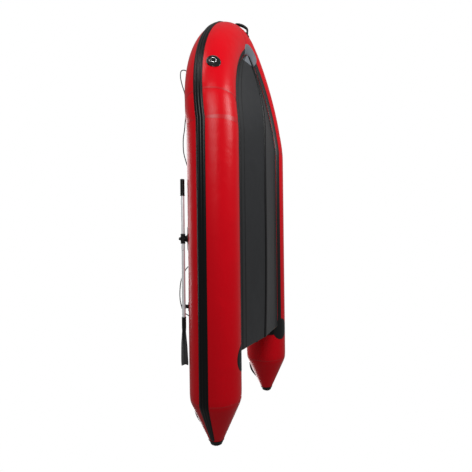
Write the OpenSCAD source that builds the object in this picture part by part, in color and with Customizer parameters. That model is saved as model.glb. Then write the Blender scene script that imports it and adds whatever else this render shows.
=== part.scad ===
// Inflatable dinghy with an inflatable keel, a sectional floor, a timber transom and two stowed oars.
// Lengths in millimetres. +X points to the bow, +Y to port, +Z up.
// Stations (x) are measured forward from the stern tips. Heights start at the side tubes' centre lines.
// place() moves the boat to its own frame: the middle of its footprint, on the ground.

/* [Tubes] */
// Outer diameter of the buoyancy tubes
tube_d = 480; // [430:5:540]
// Distance between the centre lines of the side tubes
tube_spacing = 1416; // [1340:2:1560]
// Thickness of the coated fabric
fabric_t = 2; // [1.5:0.1:3]
// Station where the side tubes end and the bow tube begins
bow_station = 2940; // [2900:10:3200]
// Upward pitch of the bow tube, in degrees
bow_pitch = 7; // [4:0.5:9]
// Turn of the wide bow bend on each side, in degrees
wide_turn = 57; // [52:1:60]
// Centre line radius of the tight bend at the nose
nose_bend = 320; // [290:5:350]
// Straight length between the pitch joint and the wide bend
bow_lead = 20; // [18:1:40]
// Length of the stern cones, tip to shoulder
cone_len = 425; // [380:5:480]
// Radius of the stern cones at their tip
cone_tip_r = 45; // [35:1:60]
// Length of the rubber caps on the cone tips
cone_cap_len = 55; // [40:1:70]
// Depth of the cone-shaped baffles between the air chambers
baffle_depth = 60; // [40:5:90]
// Gap between a curved piece and the tube it is bonded to
bond_gap = 0.3; // [0.2:0.05:0.5]

/* [Rubbing strake and tapes] */
// Width of the rubbing strake
strake_w = 92; // [70:1:110]
// Thickness of the strake between its ribs
strake_t = 5; // [3:0.5:8]
// Radius of the strake's lengthwise ribs
strake_rib_r = 7; // [5:0.5:9]
// Distance between the strake's ribs
strake_rib_pitch = 27; // [20:1:30]
// Thickness of the joint tapes and reinforcement patches
tape_t = 1.5; // [1:0.1:2.5]
// Length of the stern reinforcement patches
stern_patch_len = 150; // [100:5:200]

/* [Bottom] */
// Station where the bottom fabric begins, at the transom
bottom_start = 850; // [820:5:900]
// Angle round the tube from its top, going outboard, where the bottom fabric joins it
bottom_angle = 215; // [210:1:220]
// Depth of the keel line below the tubes' centre lines amidships
keel_depth = 262; // [252:1:275]
// Station where the keel line starts to rise to the bow
keel_rise_station = 3050; // [2950:10:3200]
// How sharply the keel line bends up to the bow
keel_rise_power = 1.9; // [1.5:0.1:2.4]
// Rise of the keel line from amidships to the transom
keel_stern_rise = 22; // [0:1:30]
// Thickness of the bottom fabric
bottom_t = 3; // [2:0.5:4]
// Half width of the rounded middle of the bottom
keel_flat = 26; // [20:1:40]
// Width of the rubber keel strip
keel_strip_w = 50; // [40:1:70]
// Thickness of the keel strip
keel_strip_t = 7.5; // [5:0.5:10]
// Station where the inflatable keel begins
keel_tube_start = 960; // [940:5:1100]
// Length of the inflatable keel
keel_tube_len = 2380; // [2200:10:2400]

/* [Floor] */
// Height of the floor's top face
floor_z = -150; // [-156:1:-140]
// Thickness of the floorboards
board_t = 14; // [12:0.5:16]
// Skin thickness of the hollow floorboards
board_skin = 1.6; // [1.2:0.1:2]
// Clearance between the floor's side channels and the tubes
floor_clear = 0.5; // [0.3:0.1:2]
// Station where the floor begins, in front of the transom
floor_start = 900; // [890:5:960]
// Length of each rectangular floorboard
board_len = 660; // [600:5:670]
// Gap between neighbouring floorboards
board_gap = 5; // [4:0.5:8]
// Length of the bow floorboard
bow_board_len = 540; // [450:5:560]
// Flange width of the joiners between the floorboards
joiner_w = 34; // [24:1:44]
// Metal thickness of joiners and stringers
channel_t = 2; // [1.5:0.1:2.5]
// Length of the side stringers
stringer_len = 1300; // [1000:10:1500]

/* [Transom] */
// Thickness of the transom board
transom_t = 28; // [22:1:34]
// Aft rake of the transom, in degrees
transom_rake = 9; // [6:0.5:12]
// Height of the transom where the motor clamps on
transom_top = 146; // [120:2:170]
// Height of the transom beside the motor
transom_shoulder = 182; // [150:2:190]
// Width of the motor's place on the transom
motor_w = 380; // [320:5:440]
// Width of the motor pads
pad_w = 230; // [180:5:300]
// Height of the motor pads
pad_h = 150; // [120:5:180]
// Thickness of the motor pads
pad_t = 9; // [6:0.5:14]
// Thickness of the transom holders' ribs
holder_t = 6; // [4:0.5:8]
// Height of the transom holders' ribs above the tube
holder_h = 36; // [25:1:45]
// Bore radius of the drain fittings
drain_r = 12; // [9:0.5:15]
// Distance of each drain from the centre line
drain_y = 190; // [150:5:240]
// Distance of each tow eye from the centre line
eye_y = 360; // [300:5:400]
// Distance between the two legs of a tow eye
eye_gap = 50; // [40:1:60]
// Radius of the tow eyes' bar
eye_bar_r = 4; // [3:0.5:5]

/* [Benches] */
// Station of the middle of the aft bench
aft_bench_station = 1420; // [1400:10:1450]
// Station of the middle of the rowing bench
rowing_bench_station = 2270; // [2240:10:2320]
// Width of the benches, fore and aft
bench_w = 220; // [180:5:260]
// Thickness of the benches
bench_t = 18; // [15:1:20]
// Height of the benches' lower face
bench_z = 112; // [100:1:125]
// Length of the bench rails on the tubes
rail_len = 560; // [500:10:640]
// Clearance of a bench in its rails
bench_clear = 0.5; // [0.3:0.1:1]

/* [Oars] */
// Station of the oarlock pins
lock_station = 1900; // [1860:5:1920]
// Angle round the tube from its top, going outboard, of the oarlocks
lock_angle = 24; // [20:1:28]
// Radius of the oarlock pins
pin_r = 7; // [6:0.25:8]
// Running clearance of the oar collars on their pins
pin_clear = 0.05; // [0.03:0.01:0.1]
// Height of the oar's axis above the tube
oar_h = 46; // [44:1:52]
// Outer diameter of the oar shaft
shaft_d = 34; // [30:1:36]
// Wall of the oar shaft
shaft_t = 1.5; // [1.2:0.1:2]
// Distance from the pin to the grip's end
grip_reach = 550; // [500:5:580]
// Length of the grip
grip_len = 155; // [120:5:170]
// Radius of the grip
grip_r = 20.5; // [19.5:0.5:22]
// Distance from the pin to the blade's tip
blade_reach = 1190; // [1100:10:1200]
// Length of the blade without its socket
blade_len = 400; // [340:5:410]
// Half width of the blade at its tip
blade_half_w = 80; // [60:1:84]
// Thickness of the blade
blade_t = 6; // [4:0.5:8]
// Turn of the blade out of the plane through the pin, in degrees
blade_turn = 60; // [58:1:75]
// Length of the blade's socket on the shaft
socket_len = 70; // [50:5:90]
// Length of the oar collar
collar_len = 90; // [70:2:110]
// Wall of the oar collar
collar_t = 5; // [4:0.5:6]
// Distance from the pin to the joint of the two shaft halves
joint_reach = 160; // [130:5:180]
// Distance from the pin to the snap button
button_reach = 105; // [95:1:110]
// Radius of the snap button
button_r = 4.5; // [3.5:0.25:5]
// Travel of the snap button
button_travel = 4.8; // [4:0.1:5]
// Length of the oarlock base
lock_base_len = 220; // [180:5:240]
// Width of the oarlock base
lock_base_w = 110; // [90:2:130]
// Distance from the pin to the oar clip
clip_reach = 626; // [600:2:640]
// Width of the oar clip
clip_w = 35; // [25:1:45]
// Wall of the oar clip
clip_t = 5; // [4:0.5:6]

/* [Lines and handles] */
// Diameter of the lifelines
rope_d = 9; // [8:0.5:10]
// Base radius of the lifeline holders
line_holder_r = 28; // [22:1:34]
// Radius of the bow rings' round patches
ring_patch_r = 66; // [50:1:75]
// Station of the bow rings
ring_station = 3390; // [3350:5:3450]
// Angle round the tube from its top, going outboard, of the bow rings
ring_angle = 124; // [120:1:130]
// Radius of the bow rings' bend, at the bar's centre line
ring_bend = 26; // [22:1:30]
// Radius of the bow rings' bar
ring_bar_r = 3.5; // [3:0.25:4]
// Width of the bow handle
bow_handle_w = 44; // [34:1:54]
// Finger height under the bow handle
bow_handle_gap = 26; // [20:1:32]
// Thickness of the bow handle
bow_handle_t = 13; // [8:1:15]
// Length of the stern handles
stern_handle_len = 230; // [200:5:250]
// Width of the stern handles
stern_handle_w = 42; // [30:1:50]
// Finger height under the stern handles
stern_handle_gap = 26; // [20:1:32]
// Station of the middle of the stern handles
stern_handle_station = 262; // [250:2:270]

/* [Valves] */
// Station of the side tubes' valves
valve_station = 1060; // [1000:10:1100]
// Angle round the tube from its top, going outboard, of the valves
valve_angle = -48; // [-52:1:-40]
// Turn of the bow valve round the wide bend, in degrees
bow_valve_turn = 34; // [28:1:42]
// Radius of the valve flange
valve_flange_r = 32; // [28:1:36]
// Radius of the valve barrel
valve_barrel_r = 20; // [18:0.5:22]
// Radius of the valve's air way
valve_bore_r = 13; // [11:0.5:14]
// Travel of the valve plungers
plunger_travel = 6; // [4:0.5:7]

/* [Hidden] */
$fn = 64;

tube_r = tube_d / 2;
half_spacing = tube_spacing / 2;
nose_half = 90 - wide_turn;
wide_bend = (half_spacing - nose_bend * sin(nose_half)) / (1 - sin(nose_half));
wide_centre = [bow_lead, half_spacing - wide_bend];
nose_centre = [bow_lead + (wide_bend - nose_bend) * cos(nose_half), 0];
bow_reach = nose_centre[0] + nose_bend;
skin_r = tube_r + bond_gap;
handle_out = skin_r + bow_handle_gap + bow_handle_t;
handle_top = 104;
handle_end = 154;
boat_len = bow_station + bow_reach * cos(bow_pitch) + handle_out * cos(handle_top - 90 - bow_pitch);
strip_gap = bond_gap;
ground = keel_depth + strip_gap + keel_strip_t;
big = 3 * tube_d;
tube_red = [0.72, 0.02, 0.07];
charcoal = [0.15, 0.16, 0.18];
black = [0.05, 0.05, 0.055];
metal = [0.75, 0.76, 0.78];
steel = [0.82, 0.83, 0.85];
timber = [0.62, 0.47, 0.3];
grey = [0.3, 0.31, 0.33];

// ---- placing helpers ----

// Moves the boat from stations and heights to its own frame.
module place() translate([-boat_len / 2, 0, ground]) children();

module both_sides() {
    children();
    mirror([0, 1, 0]) children();
}

// Port as drawn, or its mirror image to starboard.
module on_side(port) {
    if (port) children();
    else mirror([0, 1, 0]) children();
}

// The bow tube's own level frame, pitched up at the bow station.
module bow_frame() translate([bow_station, 0, 0]) rotate([0, -bow_pitch, 0]) children();

// Keeps what lies aft of the pitch joint, or what lies forward of it.
module aft_of_joint() intersection() {
    children();
    translate([bow_station, 0, 0]) rotate([0, -bow_pitch / 2, 0])
        translate([-2 * bow_station, -big, -big]) cube([2 * bow_station, 2 * big, 2 * big]);
}
module ahead_of_joint() intersection() {
    children();
    translate([bow_station, 0, 0]) rotate([0, -bow_pitch / 2, 0])
        translate([0, -big, -big]) cube([bow_station, 2 * big, 2 * big]);
}

// Turn round the wide bend that a station lies at.
function lead_of(x) = (x - bow_station) / cos(bow_pitch) - bow_lead;
function turn_at(x) = lead_of(x) <= 0 ? 0 : asin(lead_of(x) / wide_bend);

// Port tube, local frame at an angle round the tube: X forward, Z away from the tube.
module on_straight(x, angle) translate([x, half_spacing, 0])
    rotate([-angle, 0, 0]) translate([0, 0, tube_r]) children();
module on_bend(turn, angle) bow_frame() translate([wide_centre[0], wide_centre[1], 0])
    rotate([0, 0, 90 - turn]) translate([wide_bend, 0, 0]) rotate([0, angle, 0])
        translate([0, 0, tube_r]) rotate([0, 0, -90]) children();
module on_tube(x, angle) {
    if (x <= bow_station) on_straight(x, angle) children();
    else on_bend(turn_at(x), angle) children();
}

// The same places as points, at a height above the tube.
function pitched(u, y, w) = [
    bow_station + u * cos(bow_pitch) - w * sin(bow_pitch), y, u * sin(bow_pitch) + w * cos(bow_pitch)
];
function straight_point(x, angle, h) =
    [x, half_spacing + (tube_r + h) * sin(angle), (tube_r + h) * cos(angle)];
function bend_point(centre, bend, turn, angle, h) =
    let (reach = bend + (tube_r + h) * sin(angle))
    pitched(centre[0] + reach * sin(turn), centre[1] + reach * cos(turn), (tube_r + h) * cos(angle));
function tube_point(x, angle, h) =
    x <= bow_station ? straight_point(x, angle, h)
    : bend_point(wide_centre, wide_bend, turn_at(x), angle, h);

// A flat outline in (outboard, up), swept along the tubes from a station to the nose, port and starboard.
module sweep_straight(from, to) translate([from, half_spacing, 0])
    rotate([90, 0, 90]) linear_extrude(height = to - from) children();
module sweep_lead() bow_frame() translate([-bow_lead, half_spacing, 0])
    rotate([90, 0, 90]) linear_extrude(height = 2 * bow_lead) children();
module sweep_wide() bow_frame() translate([wide_centre[0], wide_centre[1], 0])
    rotate_extrude(angle = wide_turn, start = nose_half, $fn = 180) translate([wide_bend, 0]) children();
module sweep_nose() bow_frame() translate([nose_centre[0], nose_centre[1], 0])
    rotate_extrude(angle = 2 * nose_half, start = -nose_half, $fn = 120) translate([nose_bend, 0]) children();

// A ring, or a stretch of it between two angles from the top going outboard.
module ring(inner, outer) difference() {
    circle(r = outer);
    circle(r = inner);
}
module ring_part(inner, outer, from, to) intersection() {
    ring(inner, outer);
    polygon(concat([[0, 0]], [for (k = [0:6]) let (a = from + (to - from) * k / 6)
        [2 * outer * sin(a), 2 * outer * cos(a)]]));
}

// A sweep of points into a closed solid. Each ring is a list of points, all of the same number.
module swept(rings) {
    n = len(rings[0]);
    last = len(rings) - 1;
    sides = [for (i = [0:last - 1]) for (k = [0:n - 1]) let (j = (k + 1) % n)
        each [[i * n + k, i * n + j, (i + 1) * n + j], [i * n + k, (i + 1) * n + j, (i + 1) * n + k]]];
    caps = [[for (k = [n - 1:-1:0]) k], [for (k = [0:n - 1]) last * n + k]];
    polyhedron(points = [for (row = rings) each row], faces = concat(sides, caps));
}

// ---- air chambers ----

function cone_r(x) = cone_tip_r + (tube_r - cone_tip_r) * x / cone_len;
cone_end = 12;
cone_slope = atan((tube_r - cone_tip_r) / cone_len);

module valve_hole() translate([0, 0, -tube_r / 2]) cylinder(h = tube_r, r = valve_barrel_r + bond_gap);

module side_tube() color(tube_red) difference() {
    aft_of_joint() union() {
        translate([cone_end, half_spacing, 0]) rotate([0, 90, 0])
            cylinder(h = cone_len - cone_end, r1 = cone_r(cone_end), r2 = tube_r, $fn = 96);
        translate([cone_len, half_spacing, 0]) rotate([0, 90, 0])
            cylinder(h = bow_station + 2 * bow_lead - cone_len, r = tube_r, $fn = 96);
    }
    translate([cone_end + fabric_t, half_spacing, 0]) rotate([0, 90, 0])
        cylinder(h = cone_len - cone_end - fabric_t,
            r1 = cone_r(cone_end) - fabric_t, r2 = tube_r - fabric_t, $fn = 96);
    translate([cone_len, half_spacing, 0]) rotate([0, 90, 0])
        cylinder(h = bow_station + 3 * bow_lead - cone_len, r = tube_r - fabric_t, $fn = 96);
    on_straight(valve_station, valve_angle) valve_hole();
}
module port_tube() side_tube();
module starboard_tube() mirror([0, 1, 0]) side_tube();

module bow_tube() color(tube_red) difference() {
    union() {
        both_sides() {
            ahead_of_joint() sweep_lead() ring(tube_r - fabric_t, tube_r, $fn = 96);
            sweep_wide() ring(tube_r - fabric_t, tube_r, $fn = 96);
        }
        sweep_nose() ring(tube_r - fabric_t, tube_r, $fn = 96);
    }
    on_bend(bow_valve_turn, valve_angle) valve_hole();
}

cap_round = 9;
cap_t = 3;
module on_cone() translate([0, half_spacing, 0]) rotate([0, 90, 0]) children();
module cone_caps() color(black) both_sides() on_cone() difference() {
    union() {
        cylinder(h = cap_round, r1 = cone_r(0) - cap_round, r2 = cone_r(cap_round) + cap_t);
        translate([0, 0, cap_round]) cylinder(h = cone_cap_len - cap_round,
            r1 = cone_r(cap_round) + cap_t, r2 = cone_r(cone_cap_len) + cap_t);
    }
    translate([0, 0, cone_end - bond_gap]) cylinder(h = cone_cap_len,
        r1 = cone_r(cone_end) + bond_gap, r2 = cone_r(cone_cap_len + cone_end) + bond_gap);
}

// Cone-shaped walls that part the bow chamber from the side chambers.
module chamber_baffles() {
    wide = tube_r - fabric_t - bond_gap;
    color(grey) both_sides() translate([bow_station - bow_lead - baffle_depth, half_spacing, 0])
        rotate([0, 90, 0]) difference() {
            cylinder(h = baffle_depth, r1 = cone_tip_r, r2 = wide, $fn = 96);
            translate([0, 0, fabric_t])
                cylinder(h = baffle_depth, r1 = cone_tip_r, r2 = wide, $fn = 96);
        }
}

// ---- rubbing strake, tapes and patches ----

module strake_outline() difference() {
    union() {
        intersection() {
            circle(r = skin_r + strake_t);
            translate([tube_r / 2, -strake_w / 2]) square([tube_r, strake_w]);
        }
        for (k = [-1:1]) rotate(k * strake_rib_pitch / skin_r * 180 / PI)
            translate([skin_r + strake_t - strake_rib_r + 4, 0]) circle(r = strake_rib_r, $fn = 32);
    }
    circle(r = skin_r);
}

module rub_strake() color(black) {
    both_sides() {
        intersection() {
            translate([0, half_spacing, 0]) rotate([0, 90, 0]) difference() {
                cylinder(h = cone_len, r1 = cone_r(0) + bond_gap + strake_t, r2 = skin_r + strake_t,
                    $fn = 96);
                translate([0, 0, -1]) cylinder(h = cone_len + 2,
                    r1 = cone_r(-1) + bond_gap, r2 = cone_r(cone_len + 1) + bond_gap, $fn = 96);
            }
            translate([0, half_spacing + tube_r + 2 * strake_t, 0]) rotate([90, 0, 0])
                linear_extrude(height = tube_r + strake_t)
                    polygon([[cone_cap_len + 4, -20], [cone_len, -strake_w / 2],
                        [cone_len, strake_w / 2], [cone_cap_len + 4, 20]]);
        }
        aft_of_joint() sweep_straight(cone_len, bow_station + bow_lead) strake_outline($fn = 96);
        ahead_of_joint() sweep_lead() strake_outline($fn = 96);
        sweep_wide() strake_outline($fn = 96);
    }
    sweep_nose() strake_outline($fn = 96);
}

tape_from = 197;
tape_to = bottom_angle - 1.5;
nose_tape_from = 166;
stern_patch_from = 158;
stern_patch_w = 2 * tube_r * sin(29);
module tape_outline(from) ring_part(skin_r, skin_r + tape_t, from, tape_to, $fn = 96);

module joint_tapes() color(black) {
    both_sides() {
        aft_of_joint() sweep_straight(bottom_start + 2, bow_station + bow_lead) tape_outline(tape_from);
        ahead_of_joint() sweep_lead() tape_outline(tape_from);
        sweep_wide() tape_outline(tape_from);
        intersection() {
            sweep_straight(bottom_start - stern_patch_len, bottom_start) tape_outline(stern_patch_from);
            translate([bottom_start - stern_patch_len / 2, half_spacing, 0]) rotate([5, 0, 0])
                translate([0, 0, -tube_r]) rounded_block(stern_patch_len, stern_patch_w, 3 * tube_r / 2, 45);
        }
    }
    sweep_nose() tape_outline(nose_tape_from);
}

// A centred upright block with round corners.
module rounded_block(l, w, h, r) translate([0, 0, -h / 2]) linear_extrude(height = h) rounded(l, w, r);
module rounded(l, w, r) {
    square([l - 2 * r, w], center = true);
    square([l, w - 2 * r], center = true);
    for (x = [-1, 1]) for (y = [-1, 1]) translate([x * (l / 2 - r), y * (w / 2 - r)]) circle(r = r, $fn = 48);
}

// ---- bottom and keel ----

// Where the bottom fabric meets the port tube, forward along the bends.
bottom_gap = 0.5;
function wide_edge(turn, down) = bend_point(wide_centre, wide_bend, turn, bottom_angle, bottom_gap + down);
function nose_edge(turn, down) = bend_point(nose_centre, nose_bend, turn, bottom_angle, bottom_gap + down);
nose_last = 85;
edges = concat(
    [for (k = [0, 0.1, 0.25, 0.45, 0.7, 1])
        straight_point(bottom_start + k * (bow_station - bottom_start), bottom_angle, bottom_gap)],
    [for (turn = [6:6:wide_turn]) wide_edge(turn, 0)],
    [for (turn = [wide_turn + 3:5:nose_last]) nose_edge(turn, 0)]);
nose_top = nose_edge(nose_last, 0);
rise_len = nose_top[0] - keel_rise_station;
rise = nose_top[2] - bottom_t - 1 + keel_depth;
function keel_z(x) = x > keel_rise_station
    ? -keel_depth + rise * pow(min(1, (x - keel_rise_station) / rise_len), keel_rise_power)
    : -keel_depth + keel_stern_rise * pow(max(0, 1 - (x - bottom_start) / 1100), 2);

// One cross-section of the bottom: its upper face from port to starboard, then its lower face back.
function bottom_ring(edge) =
    let (x = edge[0], y = edge[1], z = edge[2], flat = min(keel_flat, 0.8 * y), mid = (y + flat) / 2,
        zk = keel_z(x) + bottom_t, zm = (z + zk) / 2 - 3)
    [[x, y, z], [x, mid, zm], [x, flat, zk], [x, -flat, zk], [x, -mid, zm], [x, -y, z],
        [x, -y, z - bottom_t], [x, -mid, zm - bottom_t], [x, -flat, zk - bottom_t],
        [x, flat, zk - bottom_t], [x, mid, zm - bottom_t], [x, y, z - bottom_t]];
module hull_bottom() color(charcoal) swept([for (edge = edges) bottom_ring(edge)]);

module keel_strip() color(black) swept([for (i = [0:len(edges) - 2])
    let (x = edges[i][0], z = keel_z(x) - strip_gap, w = min(keel_strip_w / 2, edges[i][1] * 0.7))
    [[x, w, z], [x, -w, z], [x, -w + 5, z - keel_strip_t], [x, w - 5, z - keel_strip_t]]]);

// The inflatable keel fills the space between the bottom and the floor, and its ends are drawn in.
keel_clear = 0.8;
keel_sides = 24;
keel_stations = [0, 0.03, 0.1, 0.25, 0.45, 0.65, 0.8, 0.88, 0.94, 0.98, 1];
keel_full = [0.45, 0.8, 1, 1, 1, 1, 1, 1, 0.95, 0.7, 0.4];
function keel_ring(i, inset) =
    let (x = keel_tube_start + keel_stations[i] * keel_tube_len,
        top = board_z - board_clear - channel_t - keel_clear, low = keel_z(x) + bottom_t + keel_clear,
        r = (top - low) / 2 * keel_full[i] - inset)
    [for (k = [0:keel_sides - 1]) [x + inset * (i == 0 ? 1 : (i == len(keel_stations) - 1 ? -1 : 0)),
        r * cos(360 * k / keel_sides), (top + low) / 2 - r * sin(360 * k / keel_sides)]];
module keel_tube() color(grey) difference() {
    swept([for (i = [0:len(keel_stations) - 1]) keel_ring(i, 0)]);
    swept([for (i = [0:len(keel_stations) - 1]) keel_ring(i, fabric_t)]);
}

// ---- floor ----

board_z = floor_z - board_t;
board_clear = 0.3;
channel_top = floor_z + board_clear + channel_t;
board_half_w = half_spacing - sqrt(pow(tube_r, 2) - pow(channel_top, 2))
    - floor_clear - channel_t - board_clear;
stringer_flange = 20;
joiner_half = board_half_w - stringer_flange - 6;
function board_start(k) = floor_start + k * (board_len + board_gap);
bow_board_start = board_start(3);
hollow_web = 3;
hollow_n = 6;

module board(k) {
    pitch = (board_len - hollow_web) / hollow_n;
    color(metal) translate([board_start(k), 0, board_z]) difference() {
        translate([0, -board_half_w, 0]) cube([board_len, 2 * board_half_w, board_t]);
        for (j = [0:hollow_n - 1])
            translate([hollow_web + j * pitch, -board_half_w - 1, board_skin])
                cube([pitch - hollow_web, 2 * board_half_w + 2, board_t - 2 * board_skin]);
    }
}
module floorboard_1() board(0);
module floorboard_2() board(1);
module floorboard_3() board(2);

// The bow board narrows with the tubes and the rising bottom.
bow_wide_part = 0.45;
bow_hollow_n = 3;
bow_hollow_pitch = (bow_wide_part * bow_board_len - hollow_web) / bow_hollow_n;
bow_board_half = [
    [0, board_half_w], [bow_wide_part, board_half_w - 12], [0.74, 400], [0.92, 270], [1, 180]
];
module floorboard_bow() color(metal) translate([bow_board_start, 0, board_z]) difference() {
    linear_extrude(height = board_t) bow_board_outline();
    for (j = [0:bow_hollow_n - 1])
        translate([hollow_web + j * bow_hollow_pitch, -board_half_w - 1, board_skin])
            cube([bow_hollow_pitch - hollow_web, 2 * board_half_w + 2, board_t - 2 * board_skin]);
}
module bow_board_outline() polygon(concat(
    [for (p = bow_board_half) [p[0] * bow_board_len, p[1]]],
    [for (k = [len(bow_board_half) - 1:-1:0]) let (p = bow_board_half[k])
        [p[0] * bow_board_len, -p[1]]]));

module floor_joiners() color(metal) for (k = [1:3])
    translate([board_start(k) - board_gap / 2, joiner_half, 0]) rotate([90, 0, 0])
        linear_extrude(height = 2 * joiner_half) joiner_outline();
module joiner_outline() {
    translate([-board_gap / 2 + board_clear, board_z - board_clear - channel_t])
        square([board_gap - 2 * board_clear, board_t + 2 * (board_clear + channel_t)]);
    for (z = [board_z - board_clear - channel_t, floor_z + board_clear])
        translate([-joiner_w / 2, z]) square([joiner_w, channel_t]);
}
stringer_end = board_start(3) - 65;
module floor_stringers() color(metal) both_sides()
    translate([stringer_end, 0, 0]) rotate([90, 0, -90])
        linear_extrude(height = stringer_len) stringer_outline();
module stringer_outline() mirror([1, 0]) {
    low = board_z - board_clear - channel_t;
    translate([board_half_w + board_clear, low]) square([channel_t, board_t + 2 * (board_clear + channel_t)]);
    for (z = [low, floor_z + board_clear])
        translate([board_half_w + board_clear - stringer_flange, z])
            square([stringer_flange + channel_t, channel_t]);
}

// ---- transom ----

// The transom's frame: X through the board towards the bow, Y to port, Z up the board, from its aft face.
module on_transom() translate([bottom_start + 2, 0, -keel_depth]) rotate([0, -transom_rake, 0]) children();
rake_len = 1 / cos(transom_rake);
function board_up(z) = (z + keel_depth) * rake_len;
transom_low = board_up(keel_z(bottom_start) + bottom_t + 8);
transom_side = board_up(-tube_r * cos(bottom_angle - 180) + 4);
pad_clear = 0.1;
bolt_r = 4;
pad_high = board_up(transom_top) - 12;
bolt_spots = [for (y = [-1, 1]) for (z = [0.3, 0.75]) [y * pad_w * 0.34, pad_high - pad_h * z]];
eye_z = board_up(0);
drain_z = board_up(-205);
drain_flange = 7;

module tube_bore(r) both_sides() translate([0, half_spacing, 0]) rotate([0, 90, 0])
    cylinder(h = 2 * bottom_start, r = r, $fn = 96);

module transom_outline() {
    top = board_up(transom_top);
    shoulder = board_up(transom_shoulder);
    half = half_spacing - tube_r / 2;
    polygon([[-half, transom_side], [0, transom_low], [half, transom_side],
        [half, shoulder], [motor_w / 2 + 60, shoulder], [motor_w / 2, top],
        [-motor_w / 2, top], [-motor_w / 2 - 60, shoulder], [-half, shoulder]]);
}
module across_board(y, z, r) translate([-transom_t, y, z]) rotate([0, 90, 0])
    cylinder(h = 3 * transom_t, r = r);

module transom_board() color(timber) difference() {
    on_transom() rotate([90, 0, 90]) linear_extrude(height = transom_t) transom_outline();
    tube_bore(skin_r + holder_t + bond_gap);
    on_transom() {
        for (p = bolt_spots) across_board(p[0], p[1], bolt_r + pad_clear);
        for (side = [-1, 1]) {
            across_board(side * drain_y, drain_z, drain_r + 3 + pad_clear);
            for (leg = [-1, 1]) across_board(side * eye_y + leg * eye_gap / 2, eye_z, eye_bar_r + pad_clear);
        }
    }
}

// Channels bonded to the tubes that grip both faces of the transom.
holder_grip = 0.3;
module transom_holders() color(black) both_sides() {
    sweep_straight(bottom_start - 100, floor_start - 5) holder_sector(skin_r + holder_t);
    difference() {
        intersection() {
            sweep_straight(bottom_start - 140, floor_start - 5) holder_sector(skin_r + holder_h);
            transom_slab(holder_t + holder_grip);
        }
        transom_slab(holder_grip);
    }
}
module holder_sector(outer) ring_part(skin_r, outer, 228, 312, $fn = 96);
module transom_slab(margin) on_transom() translate([-margin, 0, -50])
    cube([transom_t + 2 * margin, 2 * half_spacing, tube_d + 300]);

// The pads' bolts lie sunk in them, so that a motor's clamp seats on their faces.
sunk_r = 2 * bolt_r + 0.6;
bolt_head = 3;
bolt_nut = 4;
sink = 0.7;
module pad_plate(x, sunk_from) on_transom() difference() {
    translate([x, -pad_w / 2, pad_high - pad_h]) cube([pad_t, pad_w, pad_h]);
    for (p = bolt_spots) {
        across_board(p[0], p[1], bolt_r + pad_clear);
        translate([sunk_from, p[0], p[1]]) rotate([0, 90, 0]) cylinder(h = pad_t, r = sunk_r);
    }
}
module motor_pad_outer() color(black) pad_plate(-pad_t, -2 * pad_t + sink + bolt_head);
module motor_pad_inner() color(black) pad_plate(transom_t, transom_t + pad_t - sink - bolt_nut);

module on_bolt(p) on_transom() translate([-pad_t, p[0], p[1]]) rotate([0, 90, 0]) children();
module transom_bolts() color(steel) for (p = bolt_spots) on_bolt(p) {
    translate([0, 0, sink]) cylinder(h = bolt_head, r = 2 * bolt_r);
    translate([0, 0, sink]) cylinder(h = transom_t + 2 * pad_t - 2 * sink, r = bolt_r);
    translate([0, 0, transom_t + 2 * pad_t - sink - bolt_nut]) cylinder(h = bolt_nut, r = 2 * bolt_r, $fn = 6);
}

module on_drain(side) on_transom() translate([0, side * drain_y, drain_z]) rotate([0, 90, 0]) children();
module drain_fittings() color(black) for (side = [-1, 1]) on_drain(side) difference() {
    union() {
        translate([0, 0, -4]) cylinder(h = 4, r = drain_r + 10);
        cylinder(h = transom_t + 4, r = drain_r + 3);
        translate([0, 0, transom_t]) cylinder(h = 4, r = drain_r + drain_flange);
    }
    translate([0, 0, -5]) cylinder(h = transom_t + 20, r = drain_r);
}
module drain_plug(side) color(grey) on_drain(side) {
    translate([0, 0, 2]) cylinder(h = transom_t + 2.3, r = drain_r - 0.05);
    translate([0, 0, transom_t + 4.3]) cylinder(h = 5, r = drain_r + 4);
    translate([-3, -drain_r, transom_t + 9.3]) cube([6, 2 * drain_r, 10]);
}
module drain_plug_port() drain_plug(1);
module drain_plug_starboard() drain_plug(-1);

eye_nut_h = 6;
module tow_eyes() color(steel) both_sides() on_transom() translate([0, eye_y, eye_z]) rotate([0, 90, 0]) {
    for (leg = [-1, 1]) translate([0, leg * eye_gap / 2, -28])
        cylinder(h = 28 + transom_t + eye_nut_h + 8, r = eye_bar_r);
    translate([0, 0, -28]) rotate([0, 90, 0]) rotate_extrude(angle = 180, start = -90)
        translate([eye_gap / 2, 0]) circle(r = eye_bar_r, $fn = 32);
    difference() {
        translate([-9, -eye_gap / 2 - 12, -3]) cube([18, eye_gap + 24, 2.7]);
        for (leg = [-1, 1]) translate([0, leg * eye_gap / 2, -4]) cylinder(h = 5, r = eye_bar_r - 0.5);
    }
}
module tow_eye_nuts() color(steel) both_sides() on_transom() for (leg = [-1, 1])
    translate([transom_t, eye_y + leg * eye_gap / 2, eye_z]) rotate([0, 90, 0]) difference() {
        union() {
            cylinder(h = 1.5, r = 10);
            translate([0, 0, 1.5]) cylinder(h = eye_nut_h, r = 7.5, $fn = 6);
        }
        translate([0, 0, -1]) cylinder(h = eye_nut_h + 4, r = eye_bar_r + 0.05);
    }

// ---- benches ----

rail_reach = half_spacing - tube_r + 2;
bench_half = rail_reach - 14;
rail_lip = 8;
rail_depth = 36;
rail_low = bench_z - rail_lip;
rail_high = bench_z + bench_t + rail_lip;

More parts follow.
